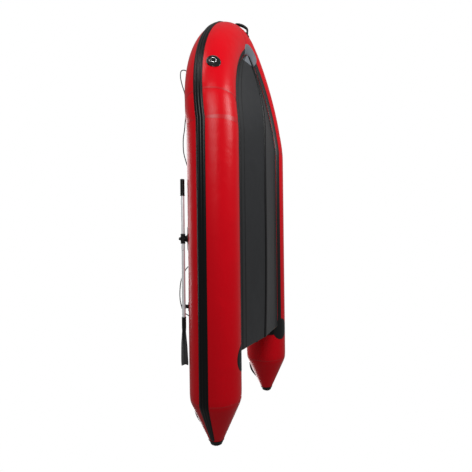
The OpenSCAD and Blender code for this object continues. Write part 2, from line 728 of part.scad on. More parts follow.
module bench_rails() color(black) both_sides() for (x = [aft_bench_station, rowing_bench_station])
    translate([x, 0, 0]) difference() {
        translate([-rail_len / 2, rail_reach - rail_depth, rail_low])
            cube([rail_len, tube_r / 2, rail_high - rail_low]);
        translate([-rail_len, half_spacing, 0]) rotate([0, 90, 0])
            cylinder(h = 2 * rail_len, r = skin_r, $fn = 96);
        translate([-rail_len, 0, bench_z - bench_clear])
            cube([2 * rail_len, bench_half + bench_clear, bench_t + 2 * bench_clear]);
    }
module bench(x) color(timber) translate([x, 0, bench_z]) linear_extrude(height = bench_t)
    rounded(bench_w, 2 * bench_half, 20);
module bench_aft() bench(aft_bench_station);
module bench_rowing() bench(rowing_bench_station);

// ---- oarlocks and oars ----

shaft_r = shaft_d / 2;
collar_r = shaft_r + bond_gap + collar_t;
lock_boss_h = oar_h - collar_r - 0.4;
lock_top = oar_h + collar_r + 0.4;
module at_lock() on_straight(lock_station, lock_angle) children();

module oarlock_bases() color(black) both_sides() {
    intersection() {
        sweep_straight(lock_station - lock_base_len, lock_station + lock_base_len)
            ring(skin_r, skin_r + 5, $fn = 96);
        at_lock() lock_block();
    }
    difference() {
        at_lock() translate([0, 0, -4]) cylinder(h = lock_boss_h + 4, r1 = 46, r2 = 27);
        sweep_straight(lock_station - lock_base_len, lock_station + lock_base_len)
            circle(r = skin_r, $fn = 96);
        at_lock() translate([0, 0, 6]) cylinder(h = lock_boss_h, r = pin_r + 0.02);
    }
}
// The base's outline: round in the middle, with a tail fore and aft.
module lock_block() translate([0, 0, -40]) linear_extrude(height = 80) {
    circle(r = lock_base_w / 2);
    rounded(lock_base_len, lock_base_w * 0.55, lock_base_w * 0.27);
}
module oarlock_pins() color(steel) both_sides() at_lock() {
    translate([0, 0, 6]) cylinder(h = lock_top - 6 + 10, r = pin_r);
}
module oarlock_nuts() color(black) both_sides() at_lock() translate([0, 0, lock_top]) difference() {
    union() {
        cylinder(h = 2, r = 17);
        translate([0, 0, 2]) cylinder(h = 13, r1 = 14, r2 = 11);
    }
    translate([0, 0, -1]) cylinder(h = 12, r = pin_r + 0.02);
}

module at_clip() at_lock() translate([-clip_reach - clip_w / 2, 0, oar_h]) rotate([90, 0, 90]) children();
// An open cradle: it holds the shaft from below, from inboard and from above, and opens outboard.
module oar_clips() color(black) both_sides() {
    intersection() {
        sweep_straight(lock_station - clip_reach - 45, lock_station - clip_reach + 45)
            ring(skin_r, skin_r + 4, $fn = 96);
        at_lock() translate([-clip_reach, 0, 0]) rounded_block(80, 56, 80, 20);
    }
    at_clip() linear_extrude(height = clip_w) {
        difference() {
            circle(r = shaft_r + bond_gap + clip_t, $fn = 48);
            circle(r = shaft_r + bond_gap, $fn = 48);
            translate([0, -2 * shaft_r]) square(4 * shaft_r);
        }
        clip_foot = oar_h - shaft_r - clip_t + 0.5;
        translate([-12, -oar_h + 4]) square([12, clip_foot - 4]);
    }
}

// Each oar lies along X, with its pin at the origin, grip forward.
module at_oar() at_lock() translate([0, 0, oar_h]) children();
module along(from, to, r) translate([from, 0, 0]) rotate([0, 90, 0]) cylinder(h = to - from, r = r);
module pipe(from, to, outer, inner) difference() {
    along(from, to, outer);
    along(from - 1, to + 1, inner);
}

module oar_collar() color(black) at_oar() difference() {
    union() {
        along(-collar_len / 2, collar_len / 2, collar_r);
        translate([0, 0, -collar_r - 0.2]) cylinder(h = 2 * collar_r + 0.4, r = pin_r + 8);
    }
    along(-collar_len, collar_len, shaft_r + bond_gap / 3);
    translate([0, 0, -2 * collar_r]) cylinder(h = 4 * collar_r, r = pin_r + pin_clear);
}
ferrule_len = 100;
ferrule_r = shaft_r - shaft_t - 0.1;
module oar_upper() color(metal) at_oar() difference() {
    pipe(-joint_reach + 0.3, grip_reach - 10, shaft_r, shaft_r - shaft_t);
    translate([0, 0, -shaft_d]) cylinder(h = 2 * shaft_d, r = pin_r + 1);
    button_hole();
}
module button_hole() translate([-button_reach, 0, 0]) rotate([-90, 0, 0])
    cylinder(h = shaft_d, r = button_r + 0.2);
module oar_lower() color(metal) at_oar() difference() {
    union() {
        pipe(-blade_reach + blade_len, -joint_reach, shaft_r, shaft_r - shaft_t);
        pipe(-joint_reach - 20, -joint_reach + ferrule_len, ferrule_r, ferrule_r - shaft_t);
        pipe(-joint_reach - 20, -joint_reach, shaft_r, ferrule_r - shaft_t);
    }
    button_hole();
}
module oar_grip() color(black) at_oar() difference() {
    union() {
        along(grip_reach - grip_len, grip_reach - 6, grip_r);
        translate([grip_reach - 6, 0, 0]) rotate([0, 90, 0]) cylinder(h = 6, r1 = grip_r, r2 = grip_r - 4);
    }
    along(grip_reach - grip_len - 1, grip_reach - 9.7, shaft_r + bond_gap / 3);
}
// Blade and socket. Its outboard edge lies low, and its inboard edge stands up and is the longer one.
module oar_blade() color(black) at_oar() rotate([blade_turn, 0, 0]) difference() {
    union() {
        along(-blade_reach + blade_len - 60, -blade_reach + blade_len + socket_len, shaft_r + 3.3);
        blade_plate();
        translate([-blade_reach + blade_len - 60, 0, 0]) rotate([0, -90, 0])
            cylinder(h = 200, r1 = shaft_r + 3.3, r2 = blade_t);
    }
    along(-blade_reach + blade_len - 0.3, 0, shaft_r + bond_gap / 3);
}
module blade_plate() rotate([90, 0, 0]) translate([0, 0, -blade_t / 2])
    linear_extrude(height = blade_t) blade_outline();
module blade_outline() {
    root = -blade_reach + blade_len;
    tip = -blade_reach;
    polygon([[root + 20, 16], [root - 60, 38], [root - 190, 70], [tip + 60, blade_half_w],
        [tip + 12, blade_half_w - 8], [tip, blade_half_w - 24],
        [tip + 26, -44], [tip + 36, 12 - blade_half_w], [tip + 50, -blade_half_w],
        [root - 190, -70], [root - 60, -38], [root + 20, -16]]);
}
// How far the button stands out: less than its travel by a shaft wall, so that pressing it frees the joint.
button_out = button_travel - shaft_t - 0.3;
// The sprung button that locks the two halves of the shaft, with its leaf inside the ferrule.
module snap_button() color(steel) at_oar() translate([-button_reach, 0, 0]) rotate([-90, 0, 0]) {
    disc = ferrule_r - shaft_t - 4.5;
    translate([0, 0, disc]) cylinder(h = shaft_r + button_out - disc, r = button_r);
    translate([0, 0, disc]) cylinder(h = 2, r = button_r + 2);
    translate([-24, -4, disc - 0.8]) cube([28, 8, 0.8]);
}
module oar_collar_port() oar_collar();
module oar_collar_starboard() on_side(false) oar_collar();
module oar_shaft_upper_port() oar_upper();
module oar_shaft_upper_starboard() on_side(false) oar_upper();
module oar_shaft_lower_port() oar_lower();
module oar_shaft_lower_starboard() on_side(false) oar_lower();
module oar_grip_port() oar_grip();
module oar_grip_starboard() on_side(false) oar_grip();
module oar_blade_port() oar_blade();
module oar_blade_starboard() on_side(false) oar_blade();
module snap_button_port() snap_button();
module snap_button_starboard() on_side(false) snap_button();

// ---- lifelines ----

rope_r = rope_d / 2;
rope_lift = 13;
// The holders' stations and angles, bow to stern.
holder_spots = [[3534, 8], [3145, 6], [2510, 0], [2060, -16], [1740, -16], [1130, -4]];

module line_holders() color(black) both_sides() for (p = holder_spots) {
    intersection() {
        holder_skin(p[0]);
        on_tube(p[0], p[1]) translate([0, 0, -20]) cylinder(h = 40, r = line_holder_r);
    }
    on_tube(p[0], p[1]) difference() {
        translate([-11, -11, 3]) cube([22, 22, rope_lift + rope_r]);
        translate([-12, 0, rope_lift]) rotate([0, 90, 0]) cylinder(h = 24, r = rope_r + 0.4);
    }
}
module holder_skin(x) {
    if (x > bow_station) sweep_wide() ring(skin_r, skin_r + 4, $fn = 96);
    else sweep_straight(x - 50, x + 50) ring(skin_r, skin_r + 4, $fn = 96);
}

// The port lifeline's route: station, angle round the tube from its top, height above the tube.
rope_route = [
    [3500, 8, 13], [3520, 8, 13], [3548, 8, 13], [3572, 8, 28], [3590, 10, 58], [3578, 12, 82],
    [3545, 13, 86],
    [3480, 13, 74], [3400, 11, 50], [3320, 8, 24], [3230, 7, 14], [3165, 6, 13], [3125, 6, 13],
    [3060, 6, 24], [2960, 7, 42], [2840, 7, 56], [2720, 6, 56], [2620, 3, 36], [2550, 1, 16], [2530, 0, 13],
    [2490, 0, 13], [2400, -4, 16], [2300, -9, 25], [2200, -13, 25], [2110, -15, 15], [2080, -16, 13],
    [2040, -16, 13], [1900, -17, 12], [1760, -16, 13], [1720, -16, 13],
    [1670, -12, 40], [1600, -4, 84], [1510, 1, 112], [1400, 3, 122], [1290, 3, 116], [1200, 1, 84],
    [1165, -2, 40], [1150, -4, 13], [1110, -4, 13], [1085, -4, 13],
];
rope_n = len(rope_route);
rope_points = [for (p = rope_route) tube_point(p[0], p[1], p[2])];
function unit(v) = v / norm(v);
knot = 4;
function rope_size(i) = i == 0 || i == rope_n - 1 ? rope_r + knot : rope_r;
module lifelines() color(black) both_sides() swept([for (i = [0:rope_n - 1])
    let (ahead = rope_points[min(i + 1, rope_n - 1)], behind = rope_points[max(i - 1, 0)],
        along_rope = unit(ahead - behind), side = unit(cross([0, 0, 1], along_rope)),
        up = cross(along_rope, side))
    [for (k = [0:7]) rope_points[i] + rope_size(i) * (cos(45 * k) * side - sin(45 * k) * up)]]);

// ---- rings, handles and valves ----

ring_lift = 13;
ring_hang = 21;
ring_leg = 16;
module at_ring() on_bend(turn_at(ring_station), ring_angle) children();
module ring_patches() color(black) both_sides() {
    intersection() {
        sweep_wide() ring(skin_r, skin_r + 4, $fn = 96);
        at_ring() translate([0, 0, -30]) cylinder(h = 60, r = ring_patch_r);
    }
    intersection() {
        sweep_wide() ring(skin_r, skin_r + 7, $fn = 96);
        at_ring() translate([0, 0, -30]) difference() {
            cylinder(h = 60, r = ring_patch_r);
            cylinder(h = 60, r = ring_patch_r - 8);
        }
    }
    at_ring() difference() {
        translate([-14, -ring_hang - 9, 2]) cube([28, 18, ring_lift + ring_bar_r + 1]);
        translate([-15, -ring_hang, ring_lift]) rotate([0, 90, 0]) cylinder(h = 30, r = ring_bar_r + 0.1);
    }
}
// A ring of round bar: a straight bar in its keeper and a half-round bend hanging below it.
module bow_ring() color(steel) at_ring() translate([0, -ring_hang, ring_lift]) {
    translate([-ring_bend, 0, 0]) rotate([0, 90, 0]) cylinder(h = 2 * ring_bend, r = ring_bar_r);
    for (side = [-1, 1]) {
        translate([side * ring_bend, 0, 0]) sphere(r = ring_bar_r, $fn = 32);
        translate([side * ring_bend, 0, 0]) rotate([-90, 0, 0]) cylinder(h = ring_leg, r = ring_bar_r);
    }
    translate([0, ring_leg, 0]) rotate_extrude(angle = 180)
        translate([ring_bend, 0]) circle(r = ring_bar_r, $fn = 32);
}
module bow_ring_port() bow_ring();
module bow_ring_starboard() on_side(false) bow_ring();

// The bow handle runs down the nose on the centre line, from below the strake.
module at_nose() bow_frame() translate([bow_reach, 0, 0]) children();
patch_t = 2;
module nose_arc(inner, outer, from, to, w) at_nose() translate([0, w / 2, 0]) rotate([90, 0, 0])
    linear_extrude(height = w) ring_part(inner, outer, from, to, $fn = 96);
module bow_handle() color(black) difference() {
    nose_arc(skin_r + patch_t + bond_gap, handle_out, handle_top, handle_end, bow_handle_w);
    nose_arc(tube_r / 2, skin_r + bow_handle_gap, handle_top + 10, handle_end - 10, 2 * bow_handle_w);
}
module bow_handle_patch() color(tube_red * 0.5) intersection() {
    sweep_nose() ring(skin_r, skin_r + patch_t, $fn = 96);
    at_nose() rotate([0, (handle_top + handle_end) / 2, 0])
        translate([0, 0, tube_r / 2 + 40]) rounded_block(218, 110, tube_r, 40);
}

// Stern handles: an arched strap on a pad at each end, along the top of each cone.
handle_arch = (pow(stern_handle_len / 2, 2) + pow(stern_handle_gap, 2)) / (2 * stern_handle_gap);
module stern_handles() color(black) both_sides()
    translate([stern_handle_station, half_spacing, cone_r(stern_handle_station)])
    rotate([0, -cone_slope, 0]) {
        half = stern_handle_len / 2;
        opening = asin(half / handle_arch);
        for (end = [-1, 1]) translate([end * half, 0, 0.4]) rounded_block_on(52, stern_handle_w + 8, 4, 12);
        translate([0, stern_handle_w / 2, 4 + stern_handle_gap - handle_arch]) rotate([90, 0, 0])
            linear_extrude(height = stern_handle_w)
                ring_part(handle_arch, handle_arch + 5, -opening, opening, $fn = 180);
    }
module rounded_block_on(l, w, h, r) linear_extrude(height = h) rounded(l, w, r);

// Valves: a flanged body, a sprung plunger and a cap that twists.
valve_depth = 30;
valve_seat = 0.9;
module at_valve(which) {
    if (which == 0) on_bend(bow_valve_turn, valve_angle) children();
    else on_side(which > 0) on_straight(valve_station, valve_angle) children();
}
module valve_bodies() color(grey) for (which = [-1:1]) at_valve(which) difference() {
    union() {
        translate([0, 0, valve_seat]) cylinder(h = 5.3 - valve_seat, r = valve_flange_r);
        translate([0, 0, -valve_depth]) cylinder(h = valve_depth + 1, r = valve_barrel_r);
    }
    translate([0, 0, -valve_depth + 3]) cylinder(h = valve_depth + 9, r = valve_bore_r);
    translate([0, 0, -valve_depth - 1]) cylinder(h = 10, r = valve_bore_r - 4);
}
module valve_cap(which) color(grey) at_valve(which) translate([0, 0, 5.6]) difference() {
    cylinder(h = 9, r1 = valve_flange_r - 4, r2 = valve_flange_r - 7);
    translate([0, 0, -1]) cylinder(h = 7, r = valve_bore_r + 2);
    for (side = [-1, 1]) translate([side * 16, 0, 6]) cube([8, 24, 12], center = true);
}
module valve_cap_port() valve_cap(1);
module valve_cap_starboard() valve_cap(-1);
module valve_cap_bow() valve_cap(0);
module valve_plunger(which) color(steel) at_valve(which) {
    translate([0, 0, -valve_depth + 11]) cylinder(h = valve_depth - 8, r = 3);
    translate([0, 0, 1]) cylinder(h = 3, r = valve_bore_r - 3);
    translate([0, 0, -valve_depth + 11]) cylinder(h = 3, r = valve_bore_r - 1);
}
module valve_plunger_port() valve_plunger(1);
module valve_plunger_starboard() valve_plunger(-1);
module valve_plunger_bow() valve_plunger(0);

// ---- nodes ----

place() port_tube();
place() starboard_tube();
place() bow_tube();
place() cone_caps();
place() chamber_baffles();
place() rub_strake();
place() hull_bottom();
place() joint_tapes();
place() keel_tube();
place() keel_strip();
place() floorboard_1();
place() floorboard_2();
place() floorboard_3();
place() floorboard_bow();
place() floor_joiners();
place() floor_stringers();
place() transom_board();
place() transom_holders();
place() motor_pad_outer();
place() motor_pad_inner();
place() transom_bolts();
place() drain_fittings();
place() drain_plug_port();
place() drain_plug_starboard();
place() tow_eyes();
place() tow_eye_nuts();
place() bench_rails();
place() bench_aft();
place() bench_rowing();
place() oarlock_bases();
place() oarlock_pins();
place() oarlock_nuts();
place() oar_clips();
place() oar_collar_port();
place() oar_shaft_upper_port();
place() oar_shaft_lower_port();
place() oar_grip_port();
place() oar_blade_port();
place() snap_button_port();
place() oar_collar_starboard();
place() oar_shaft_upper_starboard();
place() oar_shaft_lower_starboard();
place() oar_grip_starboard();
place() oar_blade_starboard();
place() snap_button_starboard();
place() line_holders();
place() lifelines();
place() ring_patches();
place() bow_ring_port();
place() bow_ring_starboard();
place() bow_handle();
place() bow_handle_patch();
place() stern_handles();
place() valve_bodies();
place() valve_cap_port();
place() valve_cap_starboard();
place() valve_cap_bow();
place() valve_plunger_port();
place() valve_plunger_starboard();
place() valve_plunger_bow();
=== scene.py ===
# %% [markdown]
# # An inflatable dinghy, built around its CAD frame
# The frame gives every rigid place and every joint. This notebook makes what the eye sees:
# coated fabric chambers, moulded rubber, rope, plywood and aluminium. Lengths are in metres,
# +X points to the bow, +Y to port and +Z up, as in the CAD.

# %% Load the frame
from math import asin, atan, cos, degrees, exp, pi, radians, sin, sqrt

import bmesh
import bpy
from mathutils import Matrix, Vector


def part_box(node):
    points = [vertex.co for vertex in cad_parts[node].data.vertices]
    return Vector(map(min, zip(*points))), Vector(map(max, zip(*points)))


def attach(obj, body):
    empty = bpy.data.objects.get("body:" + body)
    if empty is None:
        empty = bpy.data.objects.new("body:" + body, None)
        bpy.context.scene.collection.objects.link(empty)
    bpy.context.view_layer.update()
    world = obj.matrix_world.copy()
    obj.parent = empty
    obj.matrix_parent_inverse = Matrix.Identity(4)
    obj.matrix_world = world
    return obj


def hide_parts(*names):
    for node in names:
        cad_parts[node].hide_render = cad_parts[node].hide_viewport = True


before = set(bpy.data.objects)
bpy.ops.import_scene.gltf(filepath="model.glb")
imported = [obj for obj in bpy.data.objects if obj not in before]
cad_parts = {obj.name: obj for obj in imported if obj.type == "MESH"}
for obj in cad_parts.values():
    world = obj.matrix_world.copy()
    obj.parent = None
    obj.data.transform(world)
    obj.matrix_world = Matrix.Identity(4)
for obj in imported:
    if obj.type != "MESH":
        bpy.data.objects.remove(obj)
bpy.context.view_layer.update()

# %% [markdown]
# ## Where things are on the tubes
# Nearly every piece sits on a round tube that runs forward, bends wide at the bow, bends tight
# at the nose and comes back. One function that knows this path lets each piece be drawn flat
# and then laid on the skin: "run" is the distance along the tube's centre line from the stern
# tip, "angle" goes round the tube from its top towards the outboard side, "rise" is the height
# above the skin. It could be done with Curve modifiers, but those would not give exact places.
# STERN is where the stern tips are, LIFT the height of the tubes' centre line over the ground and
# HALF its distance from the middle. The bow pitches up from BOW_RUN, and past PLAIN_RUN the
# cone's shoulder is over.

# %% The path of the port tube
STERN = -2.131982
LIFT = 0.2698
TUBE_R = 0.24
HALF = 0.708
BOW_RUN = 2.94
LEAD = 0.02
PITCH = radians(7)
WIDE_TURN = radians(57)
NOSE_TURN = radians(33)
NOSE_BEND = 0.32
CONE_LEN = 0.425
PLAIN_RUN = 0.8
TIP_R = 0.045
WIDE_BEND = (HALF - NOSE_BEND * sin(NOSE_TURN)) / (1 - sin(NOSE_TURN))
NOSE_X = LEAD + (WIDE_BEND - NOSE_BEND) * cos(NOSE_TURN)
WIDE_RUN = BOW_RUN + LEAD
NOSE_RUN = WIDE_RUN + WIDE_BEND * WIDE_TURN
END_RUN = NOSE_RUN + NOSE_BEND * NOSE_TURN


def pitched(u, y, w):
    return Vector((BOW_RUN + u * cos(PITCH) - w * sin(PITCH), y, u * sin(PITCH) + w * cos(PITCH)))


def centre_line(run):
    """Centre, outboard and upward directions of the port tube. Past the nose it goes to starboard."""
    if run > END_RUN:
        centre, out, up = centre_line(2 * END_RUN - run)
        return centre * Vector((1, -1, 1)), out * Vector((1, -1, 1)), up
    base = Vector((STERN, 0, LIFT))
    if run <= BOW_RUN:
        return base + Vector((run, HALF, 0)), Vector((0, 1, 0)), Vector((0, 0, 1))
    if run <= WIDE_RUN:
        turn, u, y = 0, run - BOW_RUN, HALF
    elif run <= NOSE_RUN:
        turn = (run - WIDE_RUN) / WIDE_BEND
        u, y = LEAD + WIDE_BEND * sin(turn), HALF - WIDE_BEND + WIDE_BEND * cos(turn)
    else:
        turn = WIDE_TURN + (run - NOSE_RUN) / NOSE_BEND
        u, y = NOSE_X + NOSE_BEND * sin(turn), NOSE_BEND * cos(turn)
    level = pitched(0, 0, 0)
    return (base + pitched(u, y, 0), pitched(sin(turn), cos(turn), 0) - level, pitched(0, 0, 1) - level)


def bend_radius(run):
    mirrored = min(run, 2 * END_RUN - run)
    return WIDE_BEND if WIDE_RUN < mirrored <= NOSE_RUN else NOSE_BEND if mirrored > NOSE_RUN else None


def tube_radius(run):
    """The stern cones are straight, with a soft shoulder where the fabric is drawn round."""
    run = min(run, 2 * END_RUN - run)
    cone = TIP_R + (TUBE_R - TIP_R) * run / CONE_LEN
    soft = 0.0035
    return (cone + TUBE_R - sqrt((cone - TUBE_R) ** 2 + soft**2 * 4)) / 2 if run < PLAIN_RUN else TUBE_R


def tube_slope(run):
    return atan((tube_radius(run + 0.002) - tube_radius(run - 0.002)) / 0.004)


def skin(run, angle, rise=0.0, radius=None):
    """A point on the tube. Angle in degrees."""
    centre, out, up = centre_line(run)
    away = sin(radians(angle)) * out + cos(radians(angle)) * up
    slope = tube_slope(run) if run < PLAIN_RUN else 0.0
    forward = out.cross(up)
    reach = tube_radius(run) if radius is None else radius
    return centre + (reach + rise * cos(slope)) * away - rise * sin(slope) * forward


def lay(run, angle, x, y, rise):
    """A point drawn flat at (x forward, y round the tube), laid on the skin about a spot."""
    bend = bend_radius(run)
    stretch = 1 if bend is None else bend / (bend + TUBE_R * sin(radians(angle)))
    return skin(run + x * stretch, angle + degrees(y / tube_radius(run)), rise)


def stand(run, angle, rise=0.0):
    """The frame of a rigid fitting on the skin: X forward, Y round the tube, Z away from it."""
    centre, out, up = centre_line(run)
    forward = out.cross(up)
    slope = tube_slope(run) if run < PLAIN_RUN else 0.0
    away = sin(radians(angle)) * out + cos(radians(angle)) * up
    normal = away * cos(slope) - forward * sin(slope)
    ahead = forward * cos(slope) + away * sin(slope)
    turned_frame = Matrix((ahead, normal.cross(ahead), normal)).transposed().to_4x4()
    turned_frame.translation = skin(run, angle, rise)
    return turned_frame


def run_at(station):
    """The run of a station measured straight forward from the stern tips."""
    if station <= BOW_RUN:
        return station
    return WIDE_RUN + WIDE_BEND * asin(((station - BOW_RUN) / cos(PITCH) - LEAD) / WIDE_BEND)


print("tube length on its centre line", round(2 * END_RUN, 3), "m; nose at", skin(END_RUN, 90)[:])

# %% [markdown]
# ## Making a skin
# Most pieces here are skins drawn through rings of points: a ring of edges is extruded and the
# new ring is moved to its place. The same few lines make a chamber, a rope, a strake or a
# patch. Each loft also gets a UV map, so that a weave or a braid follows the surface: U runs
# round the ring and V along the piece, both in metres.


# %% Loft, spin and slab helpers
def loft(bm, rings, closed=True, caps=True, join_ends=False):
    """Extrudes a first ring of points through all the others."""
    order = bm.verts.layers.int.get("order") or bm.verts.layers.int.new("order")
    row = bm.verts.layers.int.get("row") or bm.verts.layers.int.new("row")
    count = len(rings[0])
    first = [bm.verts.new(p) for p in rings[0]]
    for k, vert in enumerate(first):
        vert[order], vert[row] = k, 0
    pairs = range(count if closed else count - 1)
    start = [bm.edges.new((first[k], first[(k + 1) % count])) for k in pairs]
    edges, made = start, []
    for number, ring in enumerate(rings[1:], 1):
        new = bmesh.ops.extrude_edge_only(bm, edges=edges)["geom"]
        for vert in [g for g in new if isinstance(g, bmesh.types.BMVert)]:
            vert.co = ring[vert[order]]
            vert[row] = number
        edges = [g for g in new if isinstance(g, bmesh.types.BMEdge)
                 and all(v[row] == number for v in g.verts)]
        made += [g for g in new if isinstance(g, bmesh.types.BMFace)]
    around = [0.0]
    for k in range(count):
        around.append(around[-1] + (Vector(rings[0][(k + 1) % count]) - Vector(rings[0][k])).length)
    middle = len(rings) // 2
    size = sum((Vector(rings[middle][(k + 1) % count]) - Vector(rings[middle][k])).length
               for k in range(count)) / max(around[-1], 1e-9)
    along = [0.0]
    for a, b in zip(rings, rings[1:]):
        along.append(along[-1] + (Vector(b[0]) - Vector(a[0])).length)
    uv = bm.loops.layers.uv.verify()
    for face in made:
        orders = [loop.vert[order] for loop in face.loops]
        wraps = closed and max(orders) - min(orders) > 1
        for loop in face.loops:
            k = loop.vert[order]
            k = count if wraps and k == 0 else k
            loop[uv].uv = (around[k] * size, along[loop.vert[row]])
    if join_ends:
        bmesh.ops.bridge_loops(bm, edges=start + edges)
    elif caps and closed:
        bmesh.ops.holes_fill(bm, edges=start, sides=0)
        bmesh.ops.holes_fill(bm, edges=edges, sides=0)
    return bm


def add(bm, part, place=Matrix.Identity(4)):
    """Puts a finished part into the piece's mesh."""
    bmesh.ops.recalc_face_normals(part, faces=part.faces)
    bmesh.ops.transform(part, matrix=place, verts=part.verts)
    carrier = bpy.data.meshes.new("carrier")
    part.to_mesh(carrier)
    part.free()
    bm.from_mesh(carrier)
    bpy.data.meshes.remove(carrier)
    return bm


def turned(bm, profile, place=Matrix.Identity(4), steps=40):
    """Spins a profile of (radius, height) about Z, then puts it in place."""
    part = bmesh.new()
    verts = [part.verts.new((r, 0, h)) for r, h in profile]
    edges = [part.edges.new(pair) for pair in zip(verts, verts[1:])]
    bmesh.ops.spin(part, geom=verts + edges, cent=(0, 0, 0), axis=(0, 0, 1), angle=2 * pi,
                   steps=steps, use_merge=True)
    bmesh.ops.remove_doubles(part, verts=part.verts, dist=1e-6)
    return add(bm, part, place)


def pipe(bm, points, size, sides=16, flat=1.0, up=(0, 0, 1), caps=True):
    """A round or flattened bar along points. size(i) gives its radius at each point."""
    rings = []
    side = None
    for i, point in enumerate(points):
        after, before = points[min(i + 1, len(points) - 1)], points[max(i - 1, 0)]
        ahead = (Vector(after) - Vector(before)).normalized()
        side = Vector(up).cross(ahead) if side is None else side - side.dot(ahead) * ahead
        side.normalize()
        lift = ahead.cross(side)
        radius = size(i) if callable(size) else size
        rings.append([Vector(point) + radius * (cos(2 * pi * k / sides) * side
                      + flat * sin(2 * pi * k / sides) * lift) for k in range(sides)])
    return loft(bm, rings, caps=caps)


def patch(bm, outline, levels, run, angle):
    """Concentric rings of a flat outline laid on the tube, each at its own scale and rise."""
    rings = [[lay(run, angle, x * scale, y * scale, rise) for x, y in outline] for scale, rise in levels]
    return loft(bm, rings)


def oblong(length, width, corner, n=8):
    """The outline of a rectangle with round corners, as points, counter-clockwise."""
    points = []
    for quarter, (sx, sy) in enumerate(((1, 1), (-1, 1), (-1, -1), (1, -1))):
        for k in range(n + 1):
            a = pi / 2 * (quarter + k / n)
            points.append((sx * (length / 2 - corner) + corner * cos(a),
                           sy * (width / 2 - corner) + corner * sin(a)))
    return points


def squared(value, power):
    """A sine or cosine made squarer, for a section between an ellipse and a box."""
    return abs(value) ** power * (1 if value >= 0 else -1)


def notched(place, height, radius, depth, count):
    """A ring about a fitting's axis, cut in by depth, a function of the angle."""
    angles = [2 * pi * k / count for k in range(count)]
    return [place @ Vector(((radius - depth(a)) * cos(a), (radius - depth(a)) * sin(a), height))
            for a in angles]


def disc(radius, n=40):
    return [(radius * cos(2 * pi * k / n), radius * sin(2 * pi * k / n)) for k in range(n)]


def slab(bm, outline, low, high, bevel=0.0, place=Matrix.Identity(4), segments=2):
    """A flat outline raised between two heights, with rounded edges."""
    part = bmesh.new()
    face = part.faces.new([part.verts.new((x, y, low)) for x, y in outline])
    raised = bmesh.ops.extrude_face_region(part, geom=[face])["geom"]
    top = [g for g in raised if isinstance(g, bmesh.types.BMVert)]
    bmesh.ops.translate(part, verts=top, vec=(0, 0, high - low))
    if bevel:
        rims = [e for e in part.edges if abs(e.verts[0].co.z - e.verts[1].co.z) < 1e-7]
        bmesh.ops.bevel(part, geom=rims, offset=bevel, segments=segments, profile=0.5,
                        affect="EDGES", material=-1)
    return add(bm, part, place)


def piece(bm, name, material, body="boat", stands_for=(), mirrored=False, sharp=35, flip=False):
    """Turns a bmesh into an object at the origin that rides on a body."""
    if mirrored:
        bmesh.ops.mirror(bm, geom=bm.verts[:] + bm.edges[:] + bm.faces[:], axis="Y", merge_dist=0)
    if flip:
        bmesh.ops.scale(bm, vec=(1, -1, 1), verts=bm.verts)
    bmesh.ops.recalc_face_normals(bm, faces=bm.faces)
    mesh = bpy.data.meshes.new(name)
    bm.to_mesh(mesh)
    bm.free()
    mesh.shade_smooth()
    mesh.set_sharp_from_angle(angle=radians(sharp))
    obj = bpy.data.objects.new(name, mesh)
    bpy.context.scene.collection.objects.link(obj)
    mesh.materials.append(material)
    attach(obj, body)
    if stands_for:
        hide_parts(*([stands_for] if isinstance(stands_for, str) else stands_for))
    print(f"{name}: {len(mesh.polygons)} faces")
    return obj


# %% [markdown]
# ## Effects that several finishes share
# Coated fabric, moulded rubber and rope all need grain, dust and wear. Each effect is a shader
# node group built once, with named inputs, and placed in every material with its own values.
# Patterns read Object coordinates or the loft's UV map, so they stay put when a piece moves.


# %% Node helpers
def group(name, inputs, outputs):
    tree = bpy.data.node_groups.new(name, "ShaderNodeTree")
    for label, kind, value in inputs:
        socket = tree.interface.new_socket(label, in_out="INPUT", socket_type=kind)
        if value is not None:
            socket.default_value = value
    for label, kind in outputs:
        tree.interface.new_socket(label, in_out="OUTPUT", socket_type=kind)
    return tree, tree.nodes.new("NodeGroupInput"), tree.nodes.new("NodeGroupOutput")


def node(tree, kind, link=None, **values):
    """Adds a node, sets what is given by name, and links the inputs named in link."""
    made = tree.nodes.new("ShaderNode" + kind)
    for key, value in values.items():
        if hasattr(made, key):
            setattr(made, key, value)
        else:
            made.inputs[key.replace("_", " ").title()].default_value = value
    for key, source in (link or {}).items():
        tree.links.new(source, made.inputs[key])
    return made


def ramp(tree, source, stops):
    made = node(tree, "ValToRGB", {"Fac": source})
    for k, (place, shade) in enumerate(stops):
        stop = made.color_ramp.elements[k] if k < 2 else made.color_ramp.elements.new(place)
        stop.position, stop.color = place, (shade, shade, shade, 1)
    return made.outputs["Color"]


# %% Weave: the cloth that prints through a coating or shows bare
weave, given, put = group("Weave", [("UV", "NodeSocketVector", None), ("Threads", "NodeSocketFloat", 900.0)],
                          [("Height", "NodeSocketFloat")])
spread = node(weave, "VectorMath", {0: given.outputs["UV"]}, operation="SCALE")
weave.links.new(given.outputs["Threads"], spread.inputs["Scale"])
apart = node(weave, "SeparateXYZ", {0: spread.outputs[0]})
across = node(weave, "Math", {0: apart.outputs["X"]}, operation="SINE")
along = node(weave, "Math", {0: apart.outputs["Y"]}, operation="SINE")
over = node(weave, "Math", {0: across.outputs[0], 1: along.outputs[0]}, operation="MULTIPLY")
weave.links.new(over.outputs[0], put.inputs["Height"])

